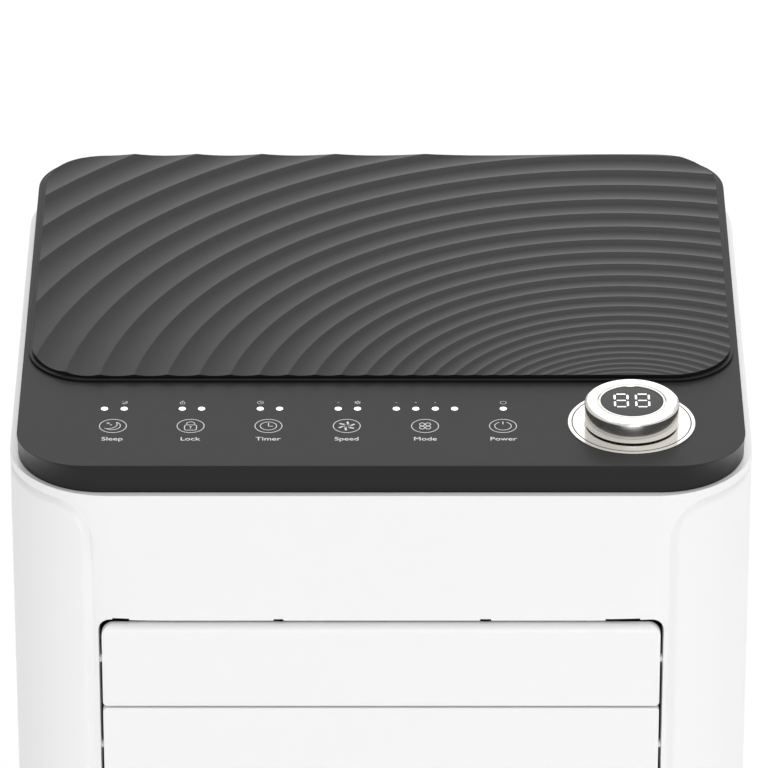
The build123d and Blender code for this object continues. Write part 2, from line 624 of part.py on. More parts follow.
# ---------------------------------------------------------------- assembly
def build():
    """Every sub-part by node name."""
    shell = panel_wall()
    nodes = {
        "base_pan": base_pan(),
        "front_panel": front_panel(shell),
        "rear_panel": rear_panel(shell),
        "left_side_panel": side_panel(-1),
        "right_side_panel": side_panel(1),
        "top_cap": top_cap(),
        "top_lid": top_lid(),
        "knob_base_ring": knob_base_ring(),
        "knob_ring": knob_ring(),
        "display_post": display_post(),
        "display_lens": display_lens(),
        "display_board": display_board(),
        "touch_board": touch_board(),
        "louver_upper": louver(BLADE_Z[0], 6),
        "louver_lower": louver(BLADE_Z[1], 2),
        "louver_link": louver_link(),
        "louver_crank": louver_crank(),
        "louver_motor": louver_motor(),
        "vane_link": vane_link(),
        "outlet_duct": outlet_duct(),
        "evaporator_scroll": evaporator_scroll(),
        "evaporator_fan": evaporator_fan(),
        "evaporator_motor": evaporator_motor(),
        "evaporator_coil": coil((TRAY_Z + 16, 652), 9),
        "evaporator_tray": evaporator_tray(),
        "condenser_scroll": condenser_scroll(),
        "condenser_fan": condenser_fan(),
        "condenser_motor": condenser_motor(),
        "condenser_coil": coil((62, 246), 8),
        "exhaust_collar": exhaust_collar(),
        "compressor": compressor(),
        "compressor_feet": compressor_feet(),
        "terminal_cover": terminal_cover(),
        "accumulator": accumulator(),
        "refrigerant_lines": refrigerant_lines(),
        "splash_wheel": splash_wheel(),
        "splash_motor": splash_motor(),
        "control_box": control_box(),
        "main_board": main_board(),
        "run_capacitor": run_capacitor(),
        "upper_filter": intake_filter(UPPER_WINDOW),
        "lower_filter": intake_filter(LOWER_WINDOW),
        "upper_drain_plug": drain_plug(TRAY_DRAIN_AT),
        "lower_drain_plug": drain_plug(DRAIN_AT),
        "cord_gland": cord_gland(),
        "case_screws": case_screws(),
    }
    for i, x in enumerate(VANE_X):
        nodes[f"vane_{i + 1}"] = vane(x)
    for name, (x, y) in zip(("front_left", "front_right", "rear_left", "rear_right"), corners()):
        nodes[f"caster_fork_{name}"] = caster_fork(x, y)
        nodes[f"caster_wheel_{name}"] = caster_wheel(x, y)
    return nodes


os.makedirs("parts", exist_ok=True)
for node, shape in build().items():
    export_step(shape, f"parts/{node}.step")
    print(node)
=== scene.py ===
"""Looks of a portable air conditioner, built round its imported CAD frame.

Sizes inside the classes are millimetres; a finished mesh is scaled to metres and keeps its place.
"""
from __future__ import annotations

import json
import logging
import math
from dataclasses import dataclass, field
from enum import Enum
from typing import Callable, Iterable, Sequence

import bmesh
import bpy
from mathutils import Matrix, Vector


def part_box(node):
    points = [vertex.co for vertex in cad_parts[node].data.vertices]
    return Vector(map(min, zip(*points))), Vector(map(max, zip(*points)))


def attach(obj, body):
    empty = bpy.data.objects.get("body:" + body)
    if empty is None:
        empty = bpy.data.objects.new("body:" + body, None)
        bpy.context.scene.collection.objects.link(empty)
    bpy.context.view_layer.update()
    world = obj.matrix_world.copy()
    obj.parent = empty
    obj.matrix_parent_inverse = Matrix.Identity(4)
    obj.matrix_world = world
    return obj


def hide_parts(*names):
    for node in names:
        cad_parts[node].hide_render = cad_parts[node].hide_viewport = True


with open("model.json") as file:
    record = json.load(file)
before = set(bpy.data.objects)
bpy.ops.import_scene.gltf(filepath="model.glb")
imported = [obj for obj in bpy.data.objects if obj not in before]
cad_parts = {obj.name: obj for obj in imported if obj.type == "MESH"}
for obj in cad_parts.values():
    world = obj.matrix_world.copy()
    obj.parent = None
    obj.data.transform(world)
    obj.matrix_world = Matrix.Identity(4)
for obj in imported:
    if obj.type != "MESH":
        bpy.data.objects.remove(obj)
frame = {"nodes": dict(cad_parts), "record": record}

LOG = logging.getLogger("air_conditioner")
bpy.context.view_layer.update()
MM = 0.001
BODY = "cabinet"
SCREWS = tuple((x, z) for x in (-118.0, 118.0) for z in (80.0, 437.0, 661.0))
FULL = 2 * math.pi
GLYPH_HALF = 4.1
Mesh = bmesh.types.BMesh
Point = tuple[float, float]


# ------------------------------------------------------------------ reading the frame
@dataclass(frozen=True)
class Box:
    """Lowest and highest corner of a CAD node, in millimetres."""

    low: Vector
    high: Vector

    @property
    def centre(self) -> Vector:
        """Middle of the box."""
        return (self.low + self.high) / 2

    @property
    def size(self) -> Vector:
        """Edge lengths of the box."""
        return self.high - self.low


def node_box(node: str) -> Box:
    """Box of one CAD node.

    Args:
        node: Name of the node.

    Returns:
        Its box at rest, in millimetres.
    """
    low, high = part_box(node)
    return Box(Vector(low) / MM, Vector(high) / MM)


def joint_place(name: str) -> Vector:
    """Position of a joint's axis.

    Args:
        name: Name of the joint in the record.

    Returns:
        A point on the axis, in millimetres.
    """
    joints = frame["record"]["behaviour"]["joints"]
    return Vector(next(j["pos_m"] for j in joints if j["name"] == name)) / MM


# ------------------------------------------------------------------ finishes
class Tree:
    """Thin helper that adds and links shader nodes of one material."""

    def __init__(self, name: str) -> None:
        """Start a material with a Principled shader and Object coordinates."""
        self.material = bpy.data.materials.new(name)
        self.material.use_nodes = True
        self.nodes = self.material.node_tree.nodes
        self.shader = self.nodes["Principled BSDF"]
        self.place = self.nodes.new("ShaderNodeTexCoord").outputs["Object"]

    def link(self, source: bpy.types.NodeSocket, target: bpy.types.NodeSocket) -> None:
        """Join two sockets."""
        self.material.node_tree.links.new(source, target)

    def stretched(self, scale: Sequence[float]) -> bpy.types.NodeSocket:
        """Object coordinates scaled along each axis."""
        mapping = self.nodes.new("ShaderNodeMapping")
        mapping.inputs["Scale"].default_value = scale
        self.link(self.place, mapping.inputs["Vector"])
        return mapping.outputs["Vector"]

    def noise(self, scale: float, detail: float = 4.0,
              where: bpy.types.NodeSocket | None = None) -> bpy.types.NodeSocket:
        """Fractal noise, with scale in features per metre."""
        node = self.nodes.new("ShaderNodeTexNoise")
        node.inputs["Scale"].default_value = scale
        node.inputs["Detail"].default_value = detail
        self.link(where or self.place, node.inputs["Vector"])
        return node.outputs["Fac"]

    def remap(self, value: bpy.types.NodeSocket, low: float, high: float) -> bpy.types.NodeSocket:
        """Noise between 0.3 and 0.7 spread over low to high."""
        node = self.nodes.new("ShaderNodeMapRange")
        node.inputs["From Min"].default_value = 0.3
        node.inputs["From Max"].default_value = 0.7
        node.inputs["To Min"].default_value = low
        node.inputs["To Max"].default_value = high
        self.link(value, node.inputs["Value"])
        return node.outputs["Result"]

    def tint(self, value: bpy.types.NodeSocket, dark: Sequence[float],
             light: Sequence[float]) -> bpy.types.NodeSocket:
        """Colour mixed from dark to light by a value."""
        node = self.nodes.new("ShaderNodeMix")
        node.data_type = "RGBA"
        node.inputs["A"].default_value = (*dark, 1)
        node.inputs["B"].default_value = (*light, 1)
        self.link(value, node.inputs["Factor"])
        return node.outputs["Result"]

    def colour(self, value: bpy.types.NodeSocket, shades: Sequence[Sequence[float]]) -> None:
        """Base colour between a dark and a light shade, by a value."""
        self.link(self.tint(value, *shades), self.shader.inputs["Base Color"])

    def gloss(self, value: bpy.types.NodeSocket, middle: float, less: float, more: float) -> None:
        """Roughness round a middle value, from less to more of it as fractions."""
        spread = self.remap(value, middle * (1 - less), middle * (1 + more))
        self.link(spread, self.shader.inputs["Roughness"])

    def bump(self, height: bpy.types.NodeSocket, depth: float) -> None:
        """Feed a height into the shader's normal, depth in metres."""
        node = self.nodes.new("ShaderNodeBump")
        node.inputs["Strength"].default_value = 1.0
        node.inputs["Distance"].default_value = depth
        self.link(height, node.inputs["Height"])
        self.link(node.outputs["Normal"], self.shader.inputs["Normal"])

    def set(self, **values: float) -> None:
        """Constants on the shader's own sockets; underscores stand for spaces."""
        for key, value in values.items():
            self.shader.inputs[key.replace("_", " ")].default_value = value


@dataclass(frozen=True)
class Finish:
    """A surface finish that dresses a piece.

    Attributes:
        name: Material name.
        slot: Material slot of the record that it belongs to.
        colour: Linear base colour.
        roughness: Middle roughness.
    """

    name: str
    slot: str
    colour: tuple[float, float, float]
    roughness: float

    def shades(self, spread: float) -> tuple[tuple[float, ...], tuple[float, ...]]:
        """Darker and lighter version of the colour, spread as a fraction."""
        return (tuple(c * (1 - spread) for c in self.colour),
                tuple(min(c * (1 + spread), 1.0) for c in self.colour))

    def paint(self, tree: Tree) -> None:
        """Add this finish's nodes to a tree."""
        raise NotImplementedError

    def material(self) -> bpy.types.Material:
        """The finish's material, made on first use."""
        found = bpy.data.materials.get(self.name)
        if found:
            return found
        tree = Tree(self.name)
        self.paint(tree)
        return tree.material


@dataclass(frozen=True)
class MouldedPlastic(Finish):
    """Injection-moulded plastic: faint flow mottling and fine spark-eroded grain."""

    mottle: float = 0.012
    grain: float = 0.000012
    grain_scale: float = 2600.0
    specular: float = 0.5

    def paint(self, tree: Tree) -> None:
        """Mottled colour, varying gloss and fine grain."""
        tree.colour(tree.noise(9.0, 3.0), self.shades(self.mottle))
        tree.gloss(tree.noise(140.0, 5.0), self.roughness, 0.08, 0.08)
        tree.bump(tree.noise(self.grain_scale, 2.0), self.grain)
        tree.set(IOR=1.5, Specular_IOR_Level=self.specular)


@dataclass(frozen=True)
class PlatedMetal(Finish):
    """Bright plating with hairline lathe marks."""

    hairline: float = 0.0000002

    def paint(self, tree: Tree) -> None:
        """Metallic colour, cloudy polish and fine turning marks up the height."""
        tree.colour(tree.noise(60.0, 4.0), self.shades(0.02))
        tree.gloss(tree.noise(220.0, 6.0), self.roughness, 0.15, 0.15)
        tree.bump(tree.noise(90.0, 2.0, tree.stretched((1, 1, 60))), self.hairline)
        tree.set(Metallic=1.0)


@dataclass(frozen=True)
class SheetMetal(Finish):
    """Rolled or plated sheet with streaks along one axis."""

    streak: tuple[float, float, float] = (1.0, 1.0, 30.0)
    metallic: float = 1.0
    spread: float = 0.08

    def paint(self, tree: Tree) -> None:
        """Streaked colour and gloss."""
        lines = tree.noise(40.0, 6.0, tree.stretched(self.streak))
        tree.colour(lines, self.shades(self.spread))
        tree.gloss(lines, self.roughness, 0.2, 0.2)
        tree.bump(lines, 0.00001)
        tree.set(Metallic=self.metallic)


@dataclass(frozen=True)
class FinPack(Finish):
    """Edges of upright fins and the gaps between them, as painted light and shade: bright bands on the
    edges, dark bands in the gaps.

    Attributes:
        phase: Metres across which the bands turn by one radian.
    """

    phase: float = 0.0018

    def paint(self, tree: Tree) -> None:
        """Bands of painted light and shade across X, with dusty variation."""
        wave = tree.nodes.new("ShaderNodeTexWave")
        wave.inputs["Scale"].default_value = 1.0 / (self.phase * 20)
        wave.inputs["Distortion"].default_value = 0.0
        tree.link(tree.place, wave.inputs["Vector"])
        # colour bands: painted light on the fin edges, painted shade in the gaps between fins
        tree.colour(wave.outputs["Fac"], self.shades(0.35))
        tree.gloss(tree.noise(35.0), self.roughness, 0.2, 0.2)
        tree.bump(wave.outputs["Fac"], 0.0003)
        tree.set(Metallic=0.9)


@dataclass(frozen=True)
class Tyre(Finish):
    """Matt rubber with a dusty bloom."""

    def paint(self, tree: Tree) -> None:
        """Bloom in the colour and a coarse grain."""
        bloom = tree.noise(70.0, 6.0)
        tree.colour(bloom, self.shades(0.3))
        tree.gloss(bloom, self.roughness, 0.1, 0.05)
        tree.bump(tree.noise(1500.0, 3.0), 0.00004)


@dataclass(frozen=True)
class Board(Finish):
    """Circuit board: solder mask over copper tracks, seen as blocky patches."""

    def paint(self, tree: Tree) -> None:
        """Tracks from a cell pattern under a glossy mask."""
        cells = tree.nodes.new("ShaderNodeTexVoronoi")
        cells.distance = "CHEBYCHEV"
        cells.inputs["Scale"].default_value = 260.0
        tree.link(tree.place, cells.inputs["Vector"])
        tree.colour(cells.outputs["Distance"], self.shades(0.35))
        tree.gloss(tree.noise(200.0), self.roughness, 0.2, 0.2)


@dataclass(frozen=True)
class Lit(Finish):
    """White print or lamp: diffuse white with a steady glow; on print, which is no lamp, the glow is
    painted light.
    """

    glow: float = 0.0

    def paint(self, tree: Tree) -> None:
        """Slightly uneven ink plus a constant glow."""
        ink = tree.noise(900.0, 2.0)
        tree.colour(ink, self.shades(0.03))
        tree.gloss(ink, self.roughness, 0.1, 0.1)
        tree.set(Emission_Strength=self.glow)
        tree.shader.inputs["Emission Color"].default_value = (1.0, 1.0, 1.0, 1.0)


WHITE = MouldedPlastic("white_abs", "white_plastic", (0.92, 0.92, 0.92), 0.34, mottle=0.004)
DECK = MouldedPlastic("charcoal_deck", "dark_plastic", (0.0165, 0.0165, 0.0167), 0.34,
                      mottle=0.03, grain=0.000003, specular=0.15)
RIPPLE = MouldedPlastic("charcoal_ripple", "dark_gloss", (0.0125, 0.0125, 0.0127), 0.24,
                        mottle=0.03, grain=0.000001, specular=0.15)
CHROME = PlatedMetal("bright_plating", "chrome_trim", (0.93, 0.912, 0.87), 0.16)
WINDOW = MouldedPlastic("display_window", "display_black", (0.03, 0.03, 0.0305), 0.3,
                        mottle=0.02, grain=0.000002, specular=0.25)
GREY = MouldedPlastic("grey_moulding", "grey_plastic", (0.09, 0.093, 0.096), 0.5, mottle=0.05)
PAN = MouldedPlastic("pan_moulding", "grey_plastic", (0.16, 0.163, 0.167), 0.5, mottle=0.05)
BLACK = MouldedPlastic("black_moulding", "black_plastic", (0.018, 0.018, 0.019), 0.45, mottle=0.1)
RUBBER = Tyre("wheel_rubber", "rubber", (0.022, 0.022, 0.023), 0.8)
ZINC = SheetMetal("zinc_plate", "zinc_steel", (0.55, 0.56, 0.57), 0.35)
ENAMEL = SheetMetal("black_enamel", "black_steel", (0.012, 0.012, 0.013), 0.3, metallic=0.0)
COPPER = SheetMetal("drawn_copper", "copper_pipe", (0.72, 0.36, 0.2), 0.28, spread=0.12)
FINS = FinPack("aluminium_fins", "coil_aluminium", (0.6, 0.61, 0.62), 0.4)
BOARD = Board("solder_mask", "circuit_board", (0.02, 0.12, 0.045), 0.3)
# glow on the white print is painted light: the print is no lamp
PRINT = Lit("white_print", "white_plastic", (0.6, 0.6, 0.6), 0.6, glow=0.05)
DIM_PRINT = Lit("grey_print", "white_plastic", (0.55, 0.55, 0.55), 0.6, glow=0.0)
LAMP = Lit("lamp_white", "white_plastic", (0.9, 0.9, 0.9), 0.4, glow=1.0)
NET = SheetMetal("filter_net", "grey_plastic", (0.03, 0.031, 0.033), 0.7, metallic=0.0)
FLOOR = MouldedPlastic("pale_floor", "white_plastic", (0.86, 0.86, 0.86), 0.8, mottle=0.002)


# ------------------------------------------------------------------ modelling helpers
def move(verts: Iterable[bmesh.types.BMVert], offset: Sequence[float]) -> None:
    """Shift vertices."""
    for vert in verts:
        vert.co += Vector(offset)


def verts_in(made: dict) -> list[bmesh.types.BMVert]:
    """Vertices among an operator's results."""
    return [g for g in made.get("geom", made.get("verts", ())) if isinstance(g, bmesh.types.BMVert)]


def cut(bm: Mesh, point: Sequence[float], normal: Sequence[float], trim: bool = False) -> None:
    """Slice a mesh with a plane.

    Args:
        bm: Mesh to slice.
        point: A point on the plane.
        normal: Direction of the plane.
        trim: Whether what lies beyond the plane is removed.
    """
    geom = bm.verts[:] + bm.edges[:] + bm.faces[:]
    bmesh.ops.bisect_plane(bm, geom=geom, dist=1e-4, plane_co=point, plane_no=normal,
                           clear_outer=trim)


def bevel_edges(bm: Mesh, edges: list[bmesh.types.BMEdge], width: float, segments: int) -> dict:
    """Round these edges, and return what the operator made."""
    return bmesh.ops.bevel(bm, geom=edges, offset=width, segments=segments, profile=0.5,
                           affect="EDGES", material=-1, clamp_overlap=True)


def soften(bm: Mesh, width: float, segments: int = 2, degrees: float = 40.0,
           where: Callable[[bmesh.types.BMEdge], bool] = lambda edge: True) -> None:
    """Round the sharp edges of a mesh.

    Args:
        bm: Mesh to round.
        width: Width of the rounding.
        segments: Faces across it.
        degrees: Edges that turn by more than this are sharp.
        where: Test that picks among the sharp edges.
    """
    limit = math.radians(degrees)
    edges = [e for e in bm.edges if e.is_manifold and e.calc_face_angle(0.0) > limit and where(e)]
    if edges:
        bevel_edges(bm, edges, width, segments)


def block(bm: Mesh, low: Sequence[float], high: Sequence[float], rounding: float = 0.0,
          segments: int = 2) -> list[bmesh.types.BMVert]:
    """Add a box with rounded edges.

    Args:
        bm: Mesh to add to.
        low: Lowest corner.
        high: Highest corner.
        rounding: Width of the edge rounding.
        segments: Faces across the rounding.

    Returns:
        The box's vertices.
    """
    low, high = Vector(low), Vector(high)
    verts = bmesh.ops.create_cube(bm, size=1.0)["verts"]
    for vert in verts:
        vert.co = Vector(a * b for a, b in zip(vert.co, high - low)) + (low + high) / 2
    if rounding:
        edges = list({e for v in verts for e in v.link_edges})
        made = bevel_edges(bm, edges, rounding, segments)
        verts = list({v for f in made["faces"] for v in f.verts})
    return verts


def turned(bm: Mesh, profile: Sequence[Point], centre: Sequence[float], axis: str = "z",
           steps: int = 96) -> list[bmesh.types.BMVert]:
    """Add a lathe-turned ring from a closed profile.

    Args:
        bm: Mesh to add to.
        profile: Closed (radius, height) outline, without repeating the first point.
        centre: Origin of the profile.
        axis: Axis of turning, "x", "y" or "z".
        steps: Faces round the axis.

    Returns:
        The ring's vertices.
    """
    own = bmesh.new()
    verts = [own.verts.new((r, 0, h)) for r, h in profile]
    edges = [own.edges.new((a, b)) for a, b in zip(verts, verts[1:] + verts[:1])]
    bmesh.ops.spin(own, geom=verts + edges, cent=(0, 0, 0), axis=(0, 0, 1), angle=FULL,
                   steps=steps, use_merge=True)
    bmesh.ops.remove_doubles(own, verts=own.verts, dist=1e-4)
    turn = {"x": Matrix.Rotation(math.pi / 2, 4, "Y"), "y": Matrix.Rotation(-math.pi / 2, 4, "X"),
            "z": Matrix.Identity(4)}[axis]
    own.transform(Matrix.Translation(Vector(centre)) @ turn)
    return absorb(bm, own)


def absorb(bm: Mesh, other: Mesh, closed: bool = True) -> list[bmesh.types.BMVert]:
    """Move another mesh's geometry into this one.

    Args:
        bm: Mesh that receives.
        other: Mesh that is emptied and freed.
        closed: Whether its normals are made to face outwards first.

    Returns:
        The received vertices.
    """
    if closed:
        bmesh.ops.recalc_face_normals(other, faces=other.faces)
    passing = bpy.data.meshes.new("passing")
    other.to_mesh(passing)
    other.free()
    count = len(bm.verts)
    bm.from_mesh(passing)
    bpy.data.meshes.remove(passing)
    bm.verts.ensure_lookup_table()
    return bm.verts[count:]


def rounded_plate(bm: Mesh, centre: Point, half: Point, radii: Sequence[float],
                  steps: int = 8) -> None:
    """Add an upright flat face in the XZ plane with rounded corners.

    Args:
        bm: Mesh to add to.
        centre: Middle (x, z).
        half: Half width and half height.
        radii: Corner radii: lower left, lower right, upper right, upper left.
        steps: Faces round each corner.
    """
    signs = ((-1, -1), (1, -1), (1, 1), (-1, 1))
    verts = [bm.verts.new((centre[0] + sx * half[0], 0, centre[1] + sz * half[1]))
             for sx, sz in signs]
    bm.faces.new(verts)
    for vert, radius in zip(verts, radii):
        bmesh.ops.bevel(bm, geom=[vert], offset=radius, segments=steps, profile=0.5,
                        affect="VERTICES", material=-1, clamp_overlap=False)


def punch(bm: Mesh, centre: Point, half: Point, radius: float,
          steps: int = 8) -> list[bmesh.types.BMEdge]:
    """Cut a round-cornered hole in a flat sheet that stands in the XZ plane at y = 0.

    Args:
        bm: The sheet.
        centre: Middle of the hole (x, z).
        half: Half width and half height of the hole.
        radius: Its corner radius.
        steps: Faces round each corner.

    Returns:
        The edges round the hole.
    """
    (cx, cz), (hx, hz), room = centre, half, 1.5
    for sign in (-1, 1):
        cut(bm, (cx + sign * (hx + room), 0, 0), (1, 0, 0))
        cut(bm, (0, 0, cz + sign * (hz + room)), (0, 0, 1))

    def inside(co: Vector, extra: float) -> bool:
        """Whether a point of the sheet lies in the hole grown by extra."""
        return abs(co.x - cx) < hx + extra and abs(co.z - cz) < hz + extra and abs(co.y) < 1e-3

    gone = [f for f in bm.faces if inside(f.calc_center_median(), room)]
    bmesh.ops.delete(bm, geom=gone, context="FACES")
    frame_edges = [e for e in bm.edges if e.is_boundary
                   and all(inside(v.co, room + 0.01) for v in e.verts)]
    own = bmesh.new()
    rounded_plate(own, centre, half, (radius,) * 4, steps)
    before = set(bm.edges)
    absorb(bm, own)
    rim = [e for e in bm.edges if e not in before]
    plate = {f for e in rim for f in e.link_faces}
    bmesh.ops.delete(bm, geom=list(plate), context="FACES_ONLY")
    bmesh.ops.triangle_fill(bm, use_beauty=True, use_dissolve=False, edges=frame_edges + rim,
                            normal=(0, -1, 0))
    return rim


def reach_back(bm: Mesh, edges: Sequence[bmesh.types.BMEdge], depth: float,
               close: bool = False) -> None:
    """Extrude a loop of edges away from the front, and close its far end if asked."""
    made = bmesh.ops.extrude_edge_only(bm, edges=list(edges))
    verts = verts_in(made)
    move(verts, (0, depth, 0))
    if close:
        far = [g for g in made["geom"] if isinstance(g, bmesh.types.BMEdge)
               and all(v in verts for v in g.verts)]
        bmesh.ops.triangle_fill(bm, use_beauty=True, use_dissolve=False, edges=far,
                                normal=(0, -1, 0))


def thicken(bm: Mesh, depth: float, segments: int = 3, degrees: float = 70.0) -> None:
    """Give a sheet that stands at y = 0 its thickness and round the edges of its front.

    Args:
        bm: The sheet.
        depth: How far its other face lies along +Y.
        segments: Faces across the rounding.
        degrees: Edges that turn by more than this are rounded.
    """
    made = bmesh.ops.extrude_face_region(bm, geom=bm.faces[:], use_keep_orig=True)
    move(verts_in(made), (0, depth, 0))
    bmesh.ops.recalc_face_normals(bm, faces=bm.faces)
    soften(bm, 0.5, segments, degrees, lambda e: all(abs(v.co.y) < 1e-3 for v in e.verts))


def loft(bm: Mesh, loops: Sequence[list[bmesh.types.BMEdge]]) -> None:
    """Bridge loops of edges in order and fill the first and the last."""
    for low, high in zip(loops, loops[1:]):
        bmesh.ops.bridge_loops(bm, edges=low + high)
    for loop in (loops[0], loops[-1]):
        bmesh.ops.edgeloop_fill(bm, edges=loop)


def face_towards(bm: Mesh, direction: Sequence[float]) -> None:
    """Make the normals of an open sheet agree, the largest face looking along direction."""
    bmesh.ops.recalc_face_normals(bm, faces=bm.faces)
    largest = max(bm.faces, key=lambda f: f.calc_area())
    if largest.normal.dot(Vector(direction)) < 0:
        bmesh.ops.reverse_faces(bm, faces=bm.faces)


def piece(name: str, bm: Mesh, finish: Finish, body: str = BODY, replaces: Sequence[str] = (),
          smooth: float = 32.0, wall: float = 0.0, sheet: bool = False) -> None:
    """Turn a finished mesh into a visible piece.

    Args:
        name: Name of the piece.
        bm: Its mesh in millimetres; it is freed.
        finish: Finish of the piece.
        body: CAD body that it rides on.
        replaces: CAD nodes that it stands for.
        smooth: Edges that turn by more than this stay sharp, in degrees.
        wall: Thickness to give a sheet, inwards.
        sheet: Whether the mesh is an open sheet whose normals are already right.
    """
    bmesh.ops.remove_doubles(bm, verts=bm.verts, dist=1e-3)
    if not sheet:
        bmesh.ops.recalc_face_normals(bm, faces=bm.faces)
    bm.transform(Matrix.Scale(MM, 4))
    data = bpy.data.meshes.new(name)
    bm.to_mesh(data)
    bm.free()
    data.shade_smooth()
    data.set_sharp_from_angle(angle=math.radians(smooth))
    data.materials.append(finish.material())
    made = bpy.data.objects.new(name, data)
    bpy.context.scene.collection.objects.link(made)
    if wall:
        shell = made.modifiers.new("wall", "SOLIDIFY")
        shell.thickness = wall * MM
        shell.offset = -1.0
    weighted = made.modifiers.new("shading", "WEIGHTED_NORMAL")
    weighted.keep_sharp = True
    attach(made, body)
    if replaces:
        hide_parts(*replaces)
    LOG.info("built %s: %d faces, rides on %s", name, len(data.polygons), body)


# ------------------------------------------------------------------ cabinet
@dataclass
class BodyPlan:
    """Plan of the cabinet: a rounded rectangle that flat sheets are rolled round.

    A flat sheet stands in the XZ plane and faces -Y: x runs round the plan from the middle of
    the front towards +X, and y is depth under the outer surface.
    """

    half_width: float
    half_depth: float
    radius: float = 48.0

    @property
    def front(self) -> float:
        """Half length of the flat front."""
        return self.half_width - self.radius

    @property
    def corner(self) -> float:
        """Arc length of one corner."""
        return self.radius * math.pi / 2

    @property
    def flank(self) -> float:
        """Length of one flat side."""
        return 2 * (self.half_depth - self.radius)

    @property
    def half_round(self) -> float:
        """Length from the middle of the front to the middle of the back."""
        return 2 * self.front + 2 * self.corner + self.flank

    def at(self, run: float, depth: float) -> tuple[float, float]:
        """Plan position of a point.

        Args:
            run: Distance round the plan from the middle of the front.
            depth: Distance under the outer surface.

        Returns:
            Its x and y.
        """
        lap = 2 * self.half_round
        run = (run + self.half_round) % lap - self.half_round
        side = -1.0 if run < 0 else 1.0
        end = 1.0 if abs(run) > self.half_round / 2 else -1.0
        run = min(abs(run), self.half_round - abs(run))
        hub_y = self.half_depth - self.radius
        if run <= self.front:
            x, y = run, self.half_depth - depth
        elif run <= self.front + self.corner:
            angle, reach = (run - self.front) / self.radius, self.radius - depth
            x, y = self.front + reach * math.sin(angle), hub_y + reach * math.cos(angle)
        else:
            x, y = self.half_width - depth, hub_y - (run - self.front - self.corner)
        return side * x, end * y

    def roll(self, bm: Mesh, start: float = 0.0, step: float = 3.0) -> None:
        """Cut a flat sheet finely at the corners and roll it round the plan.

        Args:
            bm: The sheet.
            start: Distance round the plan where the sheet's x is zero.
            step: Width of the strips at the corners.
        """
        low = min(v.co.x for v in bm.verts) + start
        high = max(v.co.x for v in bm.verts) + start
        count = round(self.corner / step)
        begins = (self.front, self.front + self.corner + self.flank)
        for lap in (-2 * self.half_round, 0.0, 2 * self.half_round):
            for side in (-1, 1):
                for begin in begins:
                    for i in range(count + 1):
                        run = lap + side * (begin + self.corner * i / count)
                        if low < run < high:
                            cut(bm, (run - start, 0, 0), (1, 0, 0))
        for vert in bm.verts:
            vert.co.x, vert.co.y = self.at(vert.co.x + start, vert.co.y)


